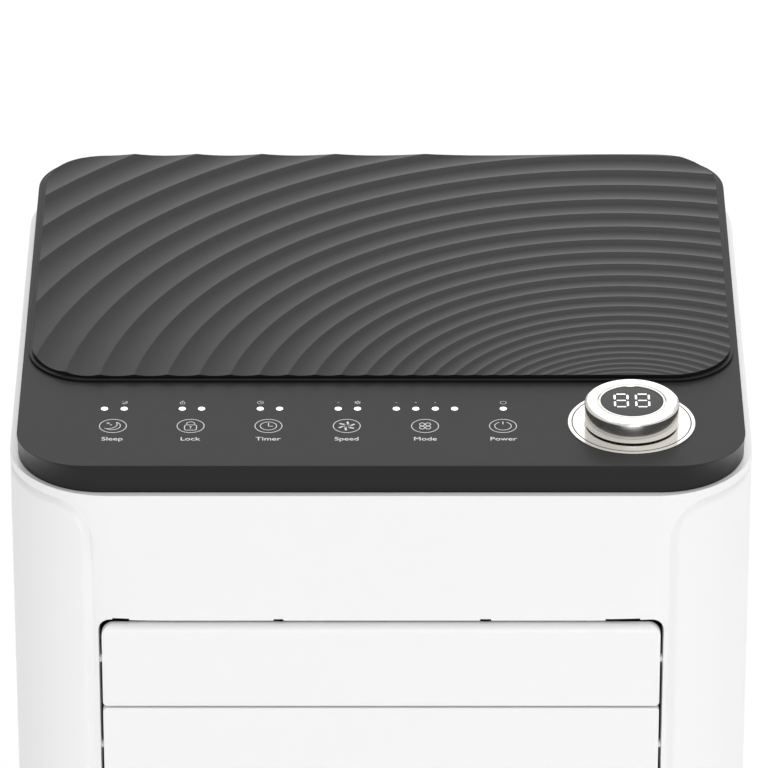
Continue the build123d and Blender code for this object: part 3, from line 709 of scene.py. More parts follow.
@dataclass
class Cabinet:
    """White body panels: front with the outlet mouth, rear, and two side covers."""

    side_edge: float = 135.3
    seam: float = 0.05
    side_top_drop: float = 4.5
    corner_round: float = 20.0
    lip: float = 5.0
    lip_drop: float = 2.5
    dish_from: float = 92.0
    dish_depth: float = 2.1
    dish_top: float = 6.0
    dish_fade: float = 40.0
    dish_end: float = 12.0
    mouth_round: float = 6.5
    notch_height: float = 0.8
    shell: float = 5.0
    notches: tuple[Point, ...] = ((-126.5, -118.5), (-50.6, -45.9), (46.6, 51.8), (105.6, 122.0))
    grip_half: Point = (55.0, 19.0)
    grip_z: float = 617.0
    grip_deep: float = 24.0
    plan: BodyPlan = field(init=False)
    front: Box = field(init=False)

    def __post_init__(self) -> None:
        """Read the panel's box and make the plan from it."""
        self.front = node_box("front_panel")
        self.plan = BodyPlan(self.front.high.x, -self.front.low.y)
        self.foot, self.rim = self.front.low.z, self.front.high.z
        self.side_top = self.rim - self.side_top_drop

    def outline(self, bm: Mesh, reach: float) -> None:
        """Add the flat face of a front or rear panel: tall middle and a rim along both sides."""
        edge, r = self.side_edge, self.corner_round
        points: list[Point] = []
        for i in range(13):
            angle = math.pi / 2 * i / 12
            points.append((edge + r - r * math.cos(angle), self.side_top - r + r * math.sin(angle)))
        right = [(edge, self.foot), *points, (reach, self.side_top), (reach, self.rim)]
        left = [(-x, z) for x, z in reversed(right)]
        bm.faces.new([bm.verts.new((x, 0, z)) for x, z in right + left])

    def mouth_places(self) -> tuple[Point, Point]:
        """Middle and half size of the outlet mouth."""
        upper, lower = node_box("louver_upper"), node_box("louver_lower")
        low, high = lower.low.z - 1.0, upper.high.z + 0.7
        duct = node_box("outlet_duct")
        return (0.0, (low + high) / 2), (duct.high.x - 1.4, (high - low) / 2)

    def dish(self, bm: Mesh) -> None:
        """Set the front face back softly towards its side edges, fading out under the rim."""
        for i in range(11):
            run = self.dish_from + (self.side_edge - self.dish_from) * i / 10
            for side in (-1, 1):
                cut(bm, (side * run, 0, 0), (1, 0, 0))
        for i in range(9):
            cut(bm, (0, 0, self.side_top - 60 + 7 * i), (0, 0, 1))
        span = self.side_edge - self.dish_from
        for vert in bm.verts:
            part = min(max((abs(vert.co.x) - self.dish_from) / span, 0.0), 1.0)
            rise = min(max((self.side_top - self.dish_top - vert.co.z) / self.dish_fade, 0.0), 1.0)
            beyond = min(max((abs(vert.co.x) - self.side_edge) / self.dish_end, 0.0), 1.0)
            vert.co.y += (self.dish_depth * part ** 3 * rise * rise * (3 - 2 * rise)
                          * (1 - beyond))

    def notch(self, bm: Mesh, edge: float) -> None:
        """Cut the latch notches into the upper edge of the mouth."""
        cut(bm, (0, 0, edge + self.notch_height), (0, 0, 1))
        for low, high in self.notches:
            for x in (low, high):
                cut(bm, (x, 0, 0), (1, 0, 0))
            gone = [f for f in bm.faces if low < f.calc_center_median().x < high
                    and edge - 0.5 < f.calc_center_median().z < edge + self.notch_height]
            bmesh.ops.delete(bm, geom=gone, context="FACES")

    def build_front(self) -> None:
        """Front panel with its mouth, dished face and rolled rim."""
        bm = bmesh.new()
        middle = self.plan.front + self.plan.corner + self.plan.flank / 2
        self.outline(bm, middle - 0.1)
        centre, half = self.mouth_places()
        punch(bm, centre, half, self.mouth_round, 10)
        self.notch(bm, centre[1] + half[1])
        face_towards(bm, (0, -1, 0))
        thicken(bm, self.shell)
        self.dish(bm)
        self.plan.roll(bm)
        piece("front_shell", bm, WHITE, replaces=["front_panel"])

    def build_side(self, side: int, name: str, node: str) -> None:
        """One side cover with its soft lip and recessed grip.

        Args:
            side: -1 for the left cover, 1 for the right.
            name: Name of the piece.
            node: CAD node that it stands for.
        """
        bm = bmesh.new()
        half_run = self.plan.half_round / 2 - self.side_edge - self.seam
        top = self.side_top - self.seam
        low = self.foot - 12
        centre, half = (0.0, (top + low) / 2), (half_run, (top - low) / 2)
        rounded_plate(bm, centre, half, (8.0, 8.0, self.corner_round, self.corner_round), 12)
        move(bm.verts, (0, self.lip_drop, 0))
        face = bm.faces[:][0]
        steps = 6
        for i in range(steps):
            now, then = self.lip_height((i + 1) / steps), self.lip_height(i / steps)
            bmesh.ops.inset_region(bm, faces=[face], thickness=self.lip / steps, depth=0.0,
                                   use_even_offset=True, use_boundary=True)
            move(face.verts, (0, then - now, 0))
        cut(bm, (0, 0, self.foot), (0, 0, -1), trim=True)
        rim = punch(bm, (0.0, self.grip_z), self.grip_half, 8.0)
        reach_back(bm, rim, self.grip_deep, close=True)
        outer = [e for e in bm.edges if e.is_boundary]
        reach_back(bm, outer, 0.8)
        face_towards(bm, (0, -1, 0))
        soften(bm, 0.9, 3, 60.0, lambda e: all(abs(v.co.y) < 1e-3 for v in e.verts))
        self.plan.roll(bm, start=side * self.plan.half_round / 2)
        piece(name, bm, WHITE, replaces=[node], wall=1.4, sheet=True)

    def lip_height(self, part: float) -> float:
        """How far the lip has risen, at a fraction of its width."""
        return self.lip_drop * part * part * (3 - 2 * part)

    def build_rear(self) -> None:
        """Rear panel with its windows, hose hole and small holes."""
        bm = bmesh.new()
        middle = self.plan.front + self.plan.corner + self.plan.flank / 2
        self.outline(bm, middle - 0.1)
        for node in ("upper_filter", "lower_filter"):
            box = node_box(node)
            half = (box.size.x / 2 + 0.4, box.size.z / 2 + 0.4)
            punch(bm, (-box.centre.x, box.centre.z), half, 3.0, 4)
        for node, reach in (("exhaust_collar", 0.2), ("cord_gland", -2.9),
                            ("upper_drain_plug", 0.3)):
            box = node_box(node)
            radius = box.size.x / 2 + reach
            punch(bm, (-box.centre.x, box.centre.z), (radius, radius), radius - 0.02, 16)
        for x, z in SCREWS:
            punch(bm, (x, z), (4.3, 4.3), 4.28, 8)
        face_towards(bm, (0, -1, 0))
        thicken(bm, self.shell)
        self.plan.roll(bm, start=self.plan.half_round)
        piece("rear_shell", bm, WHITE, replaces=["rear_panel"])

    def build(self) -> None:
        """Build every panel."""
        self.build_front()
        self.build_rear()
        self.build_side(-1, "left_side_cover", "left_side_panel")
        self.build_side(1, "right_side_cover", "right_side_panel")


# ------------------------------------------------------------------ top
def plan_loop(bm: Mesh, half: Point, radius: float, centre: Point, z: float,
              steps: int = 16) -> list[bmesh.types.BMEdge]:
    """Add a level rounded-rectangle loop of edges.

    Args:
        bm: Mesh to add to.
        half: Half width and half depth.
        radius: Corner radius.
        centre: Plan centre.
        z: Height of the loop.
        steps: Edges round each corner.

    Returns:
        The loop's edges.
    """
    own = bmesh.new()
    rounded_plate(own, (0, 0), half, (radius,) * 4, steps)
    own.transform(Matrix.Translation((centre[0], centre[1], z)) @ Matrix.Rotation(-math.pi / 2, 4, "X"))
    known = set(bm.edges)
    absorb(bm, own)
    loop = [e for e in bm.edges if e not in known]
    bmesh.ops.delete(bm, geom=list({f for e in loop for f in e.link_faces}), context="FACES_ONLY")
    return loop


@dataclass
class Cap:
    """Dark cap whose corners tighten towards the deck, so that the deck overhangs them."""

    low_radius: float = 40.5
    top_radius: float = 32.0
    rings: int = 9
    gap: float = 0.7
    inset: float = 0.4
    tightening: float = 2.4

    def build(self) -> None:
        """Bridge the outline loops and close the cap."""
        box = node_box("top_cap")
        half = (box.size.x / 2, box.size.y / 2)
        bm = bmesh.new()
        loops = []
        middle = (box.centre.x, box.centre.y)
        foot = (half[0] - self.inset, half[1] - self.inset)
        for height in (0.0, self.gap):
            loops.append(plan_loop(bm, foot, self.low_radius - self.inset, middle,
                                   box.low.z + height))
        for i in range(self.rings):
            part = i / (self.rings - 1)
            radius = self.low_radius - (self.low_radius - self.top_radius) * part ** self.tightening
            loops.append(plan_loop(bm, half, radius, middle,
                                   box.low.z + self.gap + (box.size.z - self.gap) * part))
        loft(bm, loops)
        bmesh.ops.recalc_face_normals(bm, faces=bm.faces)
        soften(bm, 0.35, 2, 50.0, lambda e: all(v.co.z > box.high.z - 0.01 for v in e.verts))
        piece("control_cap", bm, DECK, replaces=["top_cap"], smooth=40.0)


@dataclass
class RippleLid:
    """Plate cut into concentric concave flutes that widen away from the knob."""

    centre: Point = (117.8, -118.6)
    radius: float = 30.0
    flutes: int = 30
    first_crest: float = 42.22
    first_step: float = 2.967
    widening: float = 0.3053
    hollow: float = 0.05
    lead_in: float = 4.0
    cuts: int = 8
    edge: float = 1.4
    overlap: float = 1.5
    angle_step: float = 0.75

    def crest(self, n: float) -> float:
        """Radius of crest n."""
        return self.first_crest + self.first_step * n + self.widening * n * n

    def sag(self, pitch: float) -> float:
        """Depth of a flute of this pitch."""
        return self.hollow * pitch

    def profile(self, top: float) -> list[Point]:
        """Radius and height along the flutes, outwards."""
        points: list[Point] = [(self.crest(0) - self.lead_in, top)]
        for n in range(self.flutes):
            start, end = self.crest(n), self.crest(n + 1)
            for i in range(self.cuts):
                part = i / self.cuts
                depth = 4 * part * (1 - part) * self.sag(end - start)
                points.append((start + (end - start) * part, top - depth))
        return points

    def waves(self, bm: Mesh, top: float) -> None:
        """Sweep the flute profile round the knob side of the plate."""
        verts = [bm.verts.new((self.centre[0] + r, self.centre[1], z))
                 for r, z in self.profile(top)]
        edges = [bm.edges.new(pair) for pair in zip(verts, verts[1:])]
        bmesh.ops.spin(bm, geom=verts + edges, cent=(*self.centre, 0), axis=(0, 0, 1),
                       angle=math.pi, steps=round(180 / self.angle_step), use_merge=False)

    def trim(self, bm: Mesh, box: Box) -> None:
        """Cut the waves to the plate's outline with planes along its sides and round its corners."""
        reach = box.size.x / 2 - self.overlap
        front, back = box.low.y + self.overlap, box.high.y
        cut(bm, (0, front, 0), (0, -1, 0), True)
        cut(bm, (0, back, 0), (0, 1, 0), True)
        for side in (-1, 1):
            cut(bm, (side * reach, 0, 0), (side, 0, 0), True)
            for end, edge in ((-1, front), (1, back)):
                hub = Vector((side * (reach - self.radius), edge - end * self.radius, 0))
                for i in range(1, 12):
                    angle = math.pi / 2 * i / 12
                    way = Vector((side * math.cos(angle), end * math.sin(angle), 0))
                    cut(bm, hub + way * self.radius, way, True)

    def build(self) -> None:
        """Fluted plate with a flat underside, then the plinth under it."""
        box = node_box("top_lid")
        bm = bmesh.new()
        self.waves(bm, box.high.z)
        self.trim(bm, box)
        face_towards(bm, (0, 0, 1))
        outer = [e for e in bm.edges if e.is_boundary]
        made = bmesh.ops.extrude_edge_only(bm, edges=outer)
        lower = verts_in(made)
        for vert in lower:
            vert.co.z = box.high.z - self.edge
        rim = [e for e in bm.edges if e.is_boundary and all(v in lower for v in e.verts)]
        bmesh.ops.triangle_fill(bm, use_beauty=True, use_dissolve=False, edges=rim,
                                normal=(0, 0, -1))
        piece("ripple_plate", bm, RIPPLE, replaces=["top_lid"], smooth=15.0)
        self.build_band(box)

    def build_band(self, box: Box) -> None:
        """Plinth under the plate: a recessed reveal and a low band on the deck."""
        bm = bmesh.new()
        half = (box.size.x / 2, box.size.y / 2)
        centre = (box.centre.x, box.centre.y)
        deck = box.low.z
        steps = ((0.6, 0.0), (0.6, 0.25), (0.0, 0.35), (0.0, 1.15), (0.2, 1.3), (2.6, 1.35),
                 (2.6, 2.1))
        loops = [plan_loop(bm, (half[0] - inset, half[1] - inset), self.radius - inset, centre,
                           deck + height) for inset, height in steps]
        loft(bm, loops)
        piece("lid_plinth", bm, DECK)


@dataclass
class Knob:
    """Control knob: trim ring, turning ring, fixed bezel, window and two digits."""

    ring_radius: float = 30.0
    bore: float = 16.1
    window: float = 14.6
    digit_wide: float = 6.8
    digit_tall: float = 12.8
    digit_gap: float = 3.2
    digit_line: float = 0.75
    digit_up: float = 0.8

    def build(self) -> None:
        """Turn each ring about the knob's axis."""
        axis = joint_place("knob_turn")
        self.centre = (axis.x, axis.y, 0.0)
        self.deck = node_box("knob_base_ring").low.z
        self.top = node_box("knob_ring").high.z
        self.radius = node_box("knob_ring").size.x / 2
        self.build_base()
        self.build_turning_ring()
        self.build_bezel()
        self.build_window()
        self.build_digits()

    def build_base(self) -> None:
        """Trim ring on the deck with a fine groove, and a black ring set in the groove as painted
        shade.
        """
        bm = bmesh.new()
        r, z, t = self.ring_radius, self.deck, self.deck + 0.6
        profile = [(self.bore + 0.2, z), (r, z), (r, t - 0.15), (r - 0.15, t), (28.3, t),
                   (28.25, t - 0.5), (27.75, t - 0.5), (27.7, t), (self.bore + 0.2, t)]
        turned(bm, profile, self.centre, steps=160)
        piece("knob_trim_ring", bm, CHROME, replaces=["knob_base_ring"], smooth=28.0)
        # black ring inside the groove: painted shade where the groove lies in shadow
        line = bmesh.new()
        turned(line, [(27.76, t - 0.5), (28.24, t - 0.5), (28.24, t - 0.12), (27.76, t - 0.12)],
               self.centre, steps=160)
        piece("knob_groove_painted_shade", line, BLACK)

    def build_turning_ring(self) -> None:
        """Straight-sided ring with a chamfered shoulder."""
        bm = bmesh.new()
        z0, z1, r, b = self.deck + 1.2, self.top, self.radius, self.bore + 0.02
        side = [(r - 0.8, z0), (r - 0.25, z0 + 0.1), (r - 0.05, z0 + 0.3), (r, z0 + 0.7)]
        shoulder = [(r, z1 - 1.3), (r - 0.1, z1 - 0.95), (r - 0.4, z1 - 0.6), (r - 1.2, z1 - 0.1),
                    (r - 1.5, z1), (b + 0.3, z1), (b, z1 - 0.3)]
        turned(bm, [(b, z0), *side, *shoulder], self.centre, steps=160)
        piece("knob_turning_ring", bm, CHROME, body="knob", replaces=["knob_ring"], smooth=28.0)

    def build_bezel(self) -> None:
        """Fixed bezel inside the turning ring."""
        bm = bmesh.new()
        box = node_box("display_post")
        r, w, z0, z1 = self.bore - 0.05, self.window + 0.05, box.low.z, box.high.z
        profile = [(w - 1.1, z0), (r, z0), (r, z1 - 0.6), (r - 0.45, z1), (w + 0.2, z1),
                   (w, z1 - 0.5), (w, z1 - 1.4), (w - 1.1, z1 - 1.4)]
        turned(bm, profile, self.centre, steps=128)
        piece("display_bezel", bm, CHROME, replaces=["display_post"], smooth=28.0)

    def build_window(self) -> None:
        """Slightly domed dark window."""
        bm = bmesh.new()
        box = node_box("display_lens")
        r, z0, z1 = self.window, box.low.z, box.high.z
        dome = [(r * math.cos(a), z1 - 0.25 + 0.25 * math.sin(a))
                for a in (math.pi / 2 * i / 8 for i in range(9))]
        turned(bm, [(0, z0), (r, z0), *dome], self.centre, steps=96)
        piece("display_window", bm, WINDOW, replaces=["display_lens"], smooth=40.0)

    def build_digits(self) -> None:
        """Two seven-segment digits."""
        bm = bmesh.new()
        x0, y0, z = self.centre[0], self.centre[1] + self.digit_up, node_box("display_lens").high.z
        wide, tall, stroke = self.digit_wide, self.digit_tall, self.digit_line
        for side in (-1, 1):
            cx = x0 + side * (wide + self.digit_gap) / 2
            for row in (-1, 0, 1):
                self.segment(bm, (cx, y0 + row * (tall - stroke) / 2), wide - 2.5, stroke, z, True)
            for col in (-1, 1):
                for row in (-1, 1):
                    at = (cx + col * (wide - stroke) / 2, y0 + row * tall / 4)
                    self.segment(bm, at, tall / 2 - 2.3, stroke + 0.15, z, False)
        piece("display_digits", bm, LAMP)

    def segment(self, bm: Mesh, at: Point, length: float, width: float, z: float,
                level: bool) -> None:
        """One bar of a digit, with clipped ends."""
        own = bmesh.new()
        block(own, (-length / 2, -width / 2, 0), (length / 2, width / 2, 0.06))
        soften(own, width * 0.3, 1, 60.0, lambda e: abs(e.verts[0].co.z - e.verts[1].co.z) > 0.05)
        turn = Matrix.Identity(4) if level else Matrix.Rotation(math.pi / 2, 4, "Z")
        own.transform(Matrix.Translation((at[0], at[1], z)) @ turn)
        absorb(bm, own)


# ------------------------------------------------------------------ touch panel
class Glyph(Enum):
    """Pictures on the touch keys and beside the lamps."""

    MOON = "moon"
    LOCK = "lock"
    CLOCK = "clock"
    FAN = "fan"
    LOBES = "lobes"
    POWER = "power"
    STAR = "star"
    WAVES = "waves"
    FLAKE = "flake"


class Pen:
    """Draws flat line work on the deck, facing up."""

    def __init__(self, level: float) -> None:
        """Start an empty drawing at the height of the print."""
        self.bm = bmesh.new()
        self.level = level

    def arc(self, at: Point, radius: float, line: float, start: float = 0.0,
            end: float = 360.0, squeeze: float = 1.0) -> None:
        """Add an arc of a circle, angles in degrees from +X towards +Y.

        Args:
            at: Centre.
            radius: Middle radius of the line.
            line: Line width.
            start: Angle where it starts.
            end: Angle where it ends.
            squeeze: Factor on its size along Y.
        """
        half = line / 2
        own = bmesh.new()
        ends = [own.verts.new((r, 0, 0)) for r in (max(radius - half, 0.0), radius + half)]
        first = own.edges.new(ends)
        own.transform(Matrix.Rotation(math.radians(start), 4, "Z"))
        closed = abs(end - start) >= 360
        steps = max(6, round(abs(end - start) / (6 if radius > 2 else 15)))
        bmesh.ops.spin(own, geom=[*ends, first], cent=(0, 0, 0), axis=(0, 0, 1),
                       angle=math.radians(end - start), steps=steps, use_merge=closed)
        own.transform(Matrix.Translation((*at, 0)) @ Matrix.Diagonal((1, squeeze, 1, 1)))
        self.keep(own)

    def bar(self, start: Point, end: Point, line: float) -> None:
        """Add a straight line between two points."""
        a, b = Vector((*start, 0)), Vector((*end, 0))
        half = line / 2
        side = Vector((-(b - a).y, (b - a).x, 0)).normalized() * half
        own = bmesh.new()
        near = own.edges.new([own.verts.new(a + side), own.verts.new(a - side)])
        made = bmesh.ops.extrude_edge_only(own, edges=[near])
        move(verts_in(made), b - a)
        self.keep(own)

    def dot(self, at: Point, radius: float) -> None:
        """Add a filled disc."""
        own = bmesh.new()
        bmesh.ops.create_circle(own, cap_ends=True, segments=24, radius=radius,
                                matrix=Matrix.Translation((*at, 0)))
        self.keep(own)

    def keep(self, own: Mesh) -> None:
        """Lay a flat shape on the drawing, facing up."""
        bmesh.ops.remove_doubles(own, verts=own.verts, dist=1e-4)
        for face in own.faces:
            if face.normal.z < 0:
                face.normal_flip()
        own.transform(Matrix.Translation((0, 0, self.level)))
        absorb(self.bm, own, closed=False)

    def star(self, at: Point, size: float) -> None:
        """Small five-rayed star."""
        for i in range(5):
            angle = math.radians(90 + 72 * i)
            self.bar(at, (at[0] + size * math.cos(angle), at[1] + size * math.sin(angle)),
                     size * 0.42)

    def draw(self, glyph: Glyph, at: Point, size: float, line: float) -> None:
        """Add a glyph.

        Args:
            glyph: Which picture.
            at: Its middle.
            size: Half of its height.
            line: Line width.
        """
        x, y = at
        s = size / GLYPH_HALF

        def spot(dx: float, dy: float) -> Point:
            """Place of a detail, given for a glyph of half height GLYPH_HALF."""
            return x + dx * s, y + dy * s

        if glyph is Glyph.MOON:
            self.arc(spot(-0.35, 0.2), 3.85 * s, line, 213, 422)
            self.arc(spot(-2.2, 1.6), 4.1 * s, line, 245, 388)
            self.star(spot(-2.3, 2.7), 0.9 * s)
            self.star(spot(-0.9, 1.1), 0.6 * s)
        elif glyph is Glyph.LOCK:
            for dx, dy, turn in ((-1.8, -3.0, 180), (1.8, -3.0, 270), (1.8, 0.0, 0),
                                 (-1.8, 0.0, 90)):
                self.arc(spot(dx, dy), s, line, turn, turn + 90)
            self.bar(spot(-1.8, -4.0), spot(1.8, -4.0), line)
            self.bar(spot(-1.8, 1.0), spot(1.8, 1.0), line)
            for side in (-1, 1):
                self.bar(spot(side * 2.8, -3.0), spot(side * 2.8, 0.0), line)
                self.bar(spot(side * 1.9, 1.0), spot(side * 1.9, 2.1), line)
            self.arc(spot(0, 2.1), 1.9 * s, line, 0, 180)
            self.dot(spot(0, -0.6), 0.55 * s)
            self.bar(spot(0, -0.6), spot(0, -2.6), line)
        elif glyph is Glyph.CLOCK:
            self.arc(at, 3.85 * s, line)
            self.bar(spot(0, 2.9), spot(0, -0.5), line)
            self.bar(spot(0, -0.3), spot(2.2, -0.3), line)
        elif glyph is Glyph.FAN:
            for i in range(6):
                inner, outer = math.radians(60 * i), math.radians(60 * i + 26)
                self.bar(spot(1.5 * math.cos(inner), 1.5 * math.sin(inner)),
                         spot(4.1 * math.cos(outer), 4.1 * math.sin(outer)), line * 2.3)
                self.bar(spot(0.9 * math.cos(inner + 0.5), 0.9 * math.sin(inner + 0.5)),
                         spot(2.3 * math.cos(inner), 2.3 * math.sin(inner)), line)
        elif glyph is Glyph.LOBES:
            for dx in (-1.4, 1.4):
                for dy in (-1.55, 1.55):
                    self.arc(spot(dx, dy), 1.2 * s, line, squeeze=1.15)
        elif glyph is Glyph.POWER:
            self.arc(at, 3.9 * s, line, 115, 425)
            self.bar(spot(0, 4.2), spot(0, 1.6), line)
        elif glyph is Glyph.STAR:
            self.star(at, s)
        elif glyph is Glyph.WAVES:
            for row in (-0.5, 0.0, 0.5):
                self.arc((x - 0.4 * s, y + row * s - 0.2 * s), 0.4 * s, line, 20, 160)
                self.arc((x + 0.4 * s, y + row * s + 0.2 * s), 0.4 * s, line, 200, 340)
        elif glyph is Glyph.FLAKE:
            for i in range(3):
                angle = math.radians(30 + 60 * i)
                dx, dy = s * math.cos(angle), s * math.sin(angle)
                self.bar((x - dx, y - dy), (x + dx, y + dy), line)


@dataclass(frozen=True)
class Key:
    """One touch key: its label, picture and the lamps over it."""

    label: str
    glyph: Glyph
    x: float
    lamps: tuple[tuple[float, Glyph | None], ...]


@dataclass
class TouchPanel:
    """Printed touch keys and lamps on the deck."""

    icon_y: float = -119.2
    label_y: float = -133.0
    lamp_y: float = -102.6
    mark_y: float = -96.6
    lamp_radius: float = 1.65
    ring_radius: float = 6.35
    icon_half: float = GLYPH_HALF
    icon_line: float = 0.42
    mark_half: float = 1.5
    mark_line: float = 0.3
    letter_size: float = 4.6
    keys: tuple[Key, ...] = (
        Key("Sleep", Glyph.MOON, -126.0, ((-130.5, None), (-121.2, Glyph.MOON))),
        Key("Lock", Glyph.LOCK, -89.5, ((-93.8, Glyph.LOCK), (-84.7, None))),
        Key("Timer", Glyph.CLOCK, -52.9, ((-57.0, Glyph.CLOCK), (-47.9, None))),
        Key("Speed", Glyph.FAN, -16.1, ((-20.2, Glyph.WAVES), (-11.1, Glyph.FAN))),
        Key("Mode", Glyph.LOBES, 20.7, ((7.2, Glyph.FLAKE), (16.4, Glyph.WAVES),
                                        (25.6, Glyph.STAR), (34.7, None))),
        Key("Power", Glyph.POWER, 57.3, ((57.7, Glyph.POWER),)),
    )

    def build(self) -> None:
        """Print the keys, the marks and the lamps."""
        deck = node_box("top_cap").high.z
        level = deck + 0.06
        icons, marks, lamps = Pen(level), Pen(level), Pen(deck + 0.12)
        for key in self.keys:
            icons.arc((key.x, self.icon_y), self.ring_radius, self.icon_line)
            icons.draw(key.glyph, (key.x, self.icon_y), self.icon_half, self.icon_line)
            for x, mark in key.lamps:
                lamps.dot((x, self.lamp_y), self.lamp_radius)
                if mark:
                    marks.draw(mark, (x, self.mark_y), self.mark_half, self.mark_line)
        piece("touch_icons", icons.bm, PRINT, wall=0.06, sheet=True)
        piece("lamp_marks", marks.bm, DIM_PRINT, wall=0.06, sheet=True)
        piece("status_lamps", lamps.bm, LAMP, wall=0.12, sheet=True)
        for key in self.keys:
            self.build_label(key, level)

    def build_label(self, key: Key, level: float) -> None:
        """Word under a key, as flat mesh."""
        text = bpy.data.curves.new("label", "FONT")
        text.body = key.label
        text.size = self.letter_size
        text.align_x = "CENTER"
        text.offset = 0.03
        text.extrude = 0.03
        writer = bpy.data.objects.new("label", text)
        bpy.context.scene.collection.objects.link(writer)
        depsgraph = bpy.context.evaluated_depsgraph_get()
        flat = bpy.data.meshes.new_from_object(writer.evaluated_get(depsgraph))
        bpy.data.objects.remove(writer)
        bpy.data.curves.remove(text)
        bm = bmesh.new()
        bm.from_mesh(flat)
        bpy.data.meshes.remove(flat)
        wide = Matrix.Diagonal((1.04, 1.0, 1.0, 1.0))
        bm.transform(Matrix.Translation((key.x, self.label_y, level - 0.03)) @ wide)
        piece(f"label_{key.label.lower()}", bm, PRINT)


# ------------------------------------------------------------------ air outlet
@dataclass
class Louver:
    """One outlet blade with its end pins, arm and link pin."""

    node: str
    body: str
    joint: str
    top_round: float
    reveal: float = 6.4
    drop: float = 2.0
    recess: float = 3.8
    thick: float = 4.0
    arm: Point = (22.0, -20.0)
    arm_sides: Point = (124.4, 126.9)
    link_pin: Point = (126.0, 129.0)
    foot_round: float = 2.0

    def build(self) -> None:
        """Blade, pins and arm in one piece."""
        box = node_box(self.node)
        pivot = joint_place(self.joint)
        drop = self.drop if self.top_round > self.foot_round else 0.0
        half = (box.high.x - 2.6, (box.size.z - drop) / 2)
        bm = bmesh.new()
        rounded_plate(bm, (0.0, box.centre.z - drop / 2), half,
                      (self.foot_round, self.foot_round, self.top_round, self.top_round))
        face_towards(bm, (0, -1, 0))
        thicken(bm, self.thick, degrees=60.0)
        if drop:
            self.lean_back(bm, box.high.z - drop)
        move(bm.verts, (0, box.low.y, 0))
        self.fittings(bm, box, pivot)
        piece(f"{self.node}_blade", bm, WHITE, body=self.body, replaces=[self.node])

    def lean_back(self, bm: Mesh, top: float) -> None:
        """Curve the face back under the mouth's upper edge."""
        span = self.reveal - self.drop
        for i in range(9):
            cut(bm, (0, 0, top - span + span * i / 9), (0, 0, 1))
        for vert in bm.verts:
            part = min(max((vert.co.z - top + span) / span, 0.0), 1.0)
            if vert.co.y < self.thick - 0.1:
                inwards = self.recess * (1 - math.sqrt(1 - 0.96 * part * part))
                vert.co.y += inwards * (self.thick - vert.co.y) / self.thick

    def fittings(self, bm: Mesh, box: Box, pivot: Vector) -> None:
        """Pivot pins at both ends and the driven arm."""
        back = box.low.y + self.thick
        for side in (-1, 1):
            inner, outer = sorted((side * (box.high.x - 5), side * box.high.x))
            pin = ((0, inner), (2.0, inner), (2.0, outer), (0, outer))
            turned(bm, [(r, x) for r, x in pin], (0, pivot.y, pivot.z), "x", 24)
            low, high = sorted((side * (box.high.x - 6.6), side * (box.high.x - 2.6)))
            block(bm, (low, back - 1, pivot.z - 3), (high, pivot.y + 2.8, pivot.z + 3), 0.4)
        x0, x1 = self.arm_sides
        block(bm, (x0, back - 1, pivot.z - 3), (x1, pivot.y, pivot.z + 3), 0.4)
        reach = Vector((0, *self.arm))
        own = bmesh.new()
        rounded_plate(own, (reach.length / 2, 0), (reach.length / 2 + 2.9, 2.9), (2.85,) * 4, 6)
        made = bmesh.ops.extrude_face_region(own, geom=own.faces[:])
        move(verts_in(made), (0, x1 - x0, 0))
        turn = Matrix.Rotation(math.pi / 2, 4, "Z")
        own.transform(Matrix.Translation((x1, pivot.y, pivot.z))
                      @ Matrix.Rotation(math.atan2(self.arm[1], self.arm[0]), 4, "X") @ turn)
        absorb(bm, own)
        tip = pivot + reach
        near, far = self.link_pin
        turned(bm, [(0, near), (1.5, near), (1.5, far - 0.3), (1.2, far), (0, far)],
               (0, tip.y, tip.z), "x", 24)


# ------------------------------------------------------------------ rear fittings
@dataclass
class Filter:
    """Slatted intake filter with a moulded frame and a fine mesh behind."""

    node: str
    border: float = 10.0
    pitch: float = 7.0
    lean: float = 0.35
    ribs: tuple[float, ...] = (-60.0, 0.0, 60.0)

    def build(self) -> None:
        """Frame, slats, ribs and the mesh."""
        box = node_box(self.node)
        low, high = box.low, box.high
        bm = bmesh.new()
        centre, half = (0.0, box.centre.z), (box.size.x / 2, box.size.z / 2)
        rounded_plate(bm, centre, half, (2.5,) * 4, 4)
        inner = (half[0] - self.border, half[1] - self.border)
        punch(bm, centre, inner, 2.0, 4)
        thicken(bm, -box.size.y, 2)
        move(bm.verts, (0, high.y, 0))
        count = int((2 * inner[1]) / self.pitch)
        for i in range(count):
            z = low.z + self.border + (i + 0.5) * self.pitch
            slat = block(bm, (-inner[0] - 0.5, low.y + 0.9, z), (inner[0] + 0.5, high.y - 0.7, z + 1.8),
                         0.35, 1)
            for vert in slat:
                vert.co.z += (high.y - vert.co.y) * self.lean
        for x in self.ribs:
            block(bm, (x - 1.5, low.y, low.z + 6), (x + 1.5, low.y + 3.2, high.z - 6), 0.3, 1)
        piece(f"{self.node}_grille", bm, GREY, body=self.node, replaces=[self.node])
        net = bmesh.new()
        bmesh.ops.create_grid(net, x_segments=6, y_segments=6, size=0.5)
        net.transform(Matrix.Translation((0, low.y + 0.5, box.centre.z))
                      @ Matrix.Diagonal((2 * inner[0] + 1, 1, 2 * inner[1] + 1, 1))
                      @ Matrix.Rotation(math.pi / 2, 4, "X"))
        face_towards(net, (0, 1, 0))
        piece(f"{self.node}_net", net, NET, body=self.node, wall=0.3, sheet=True)


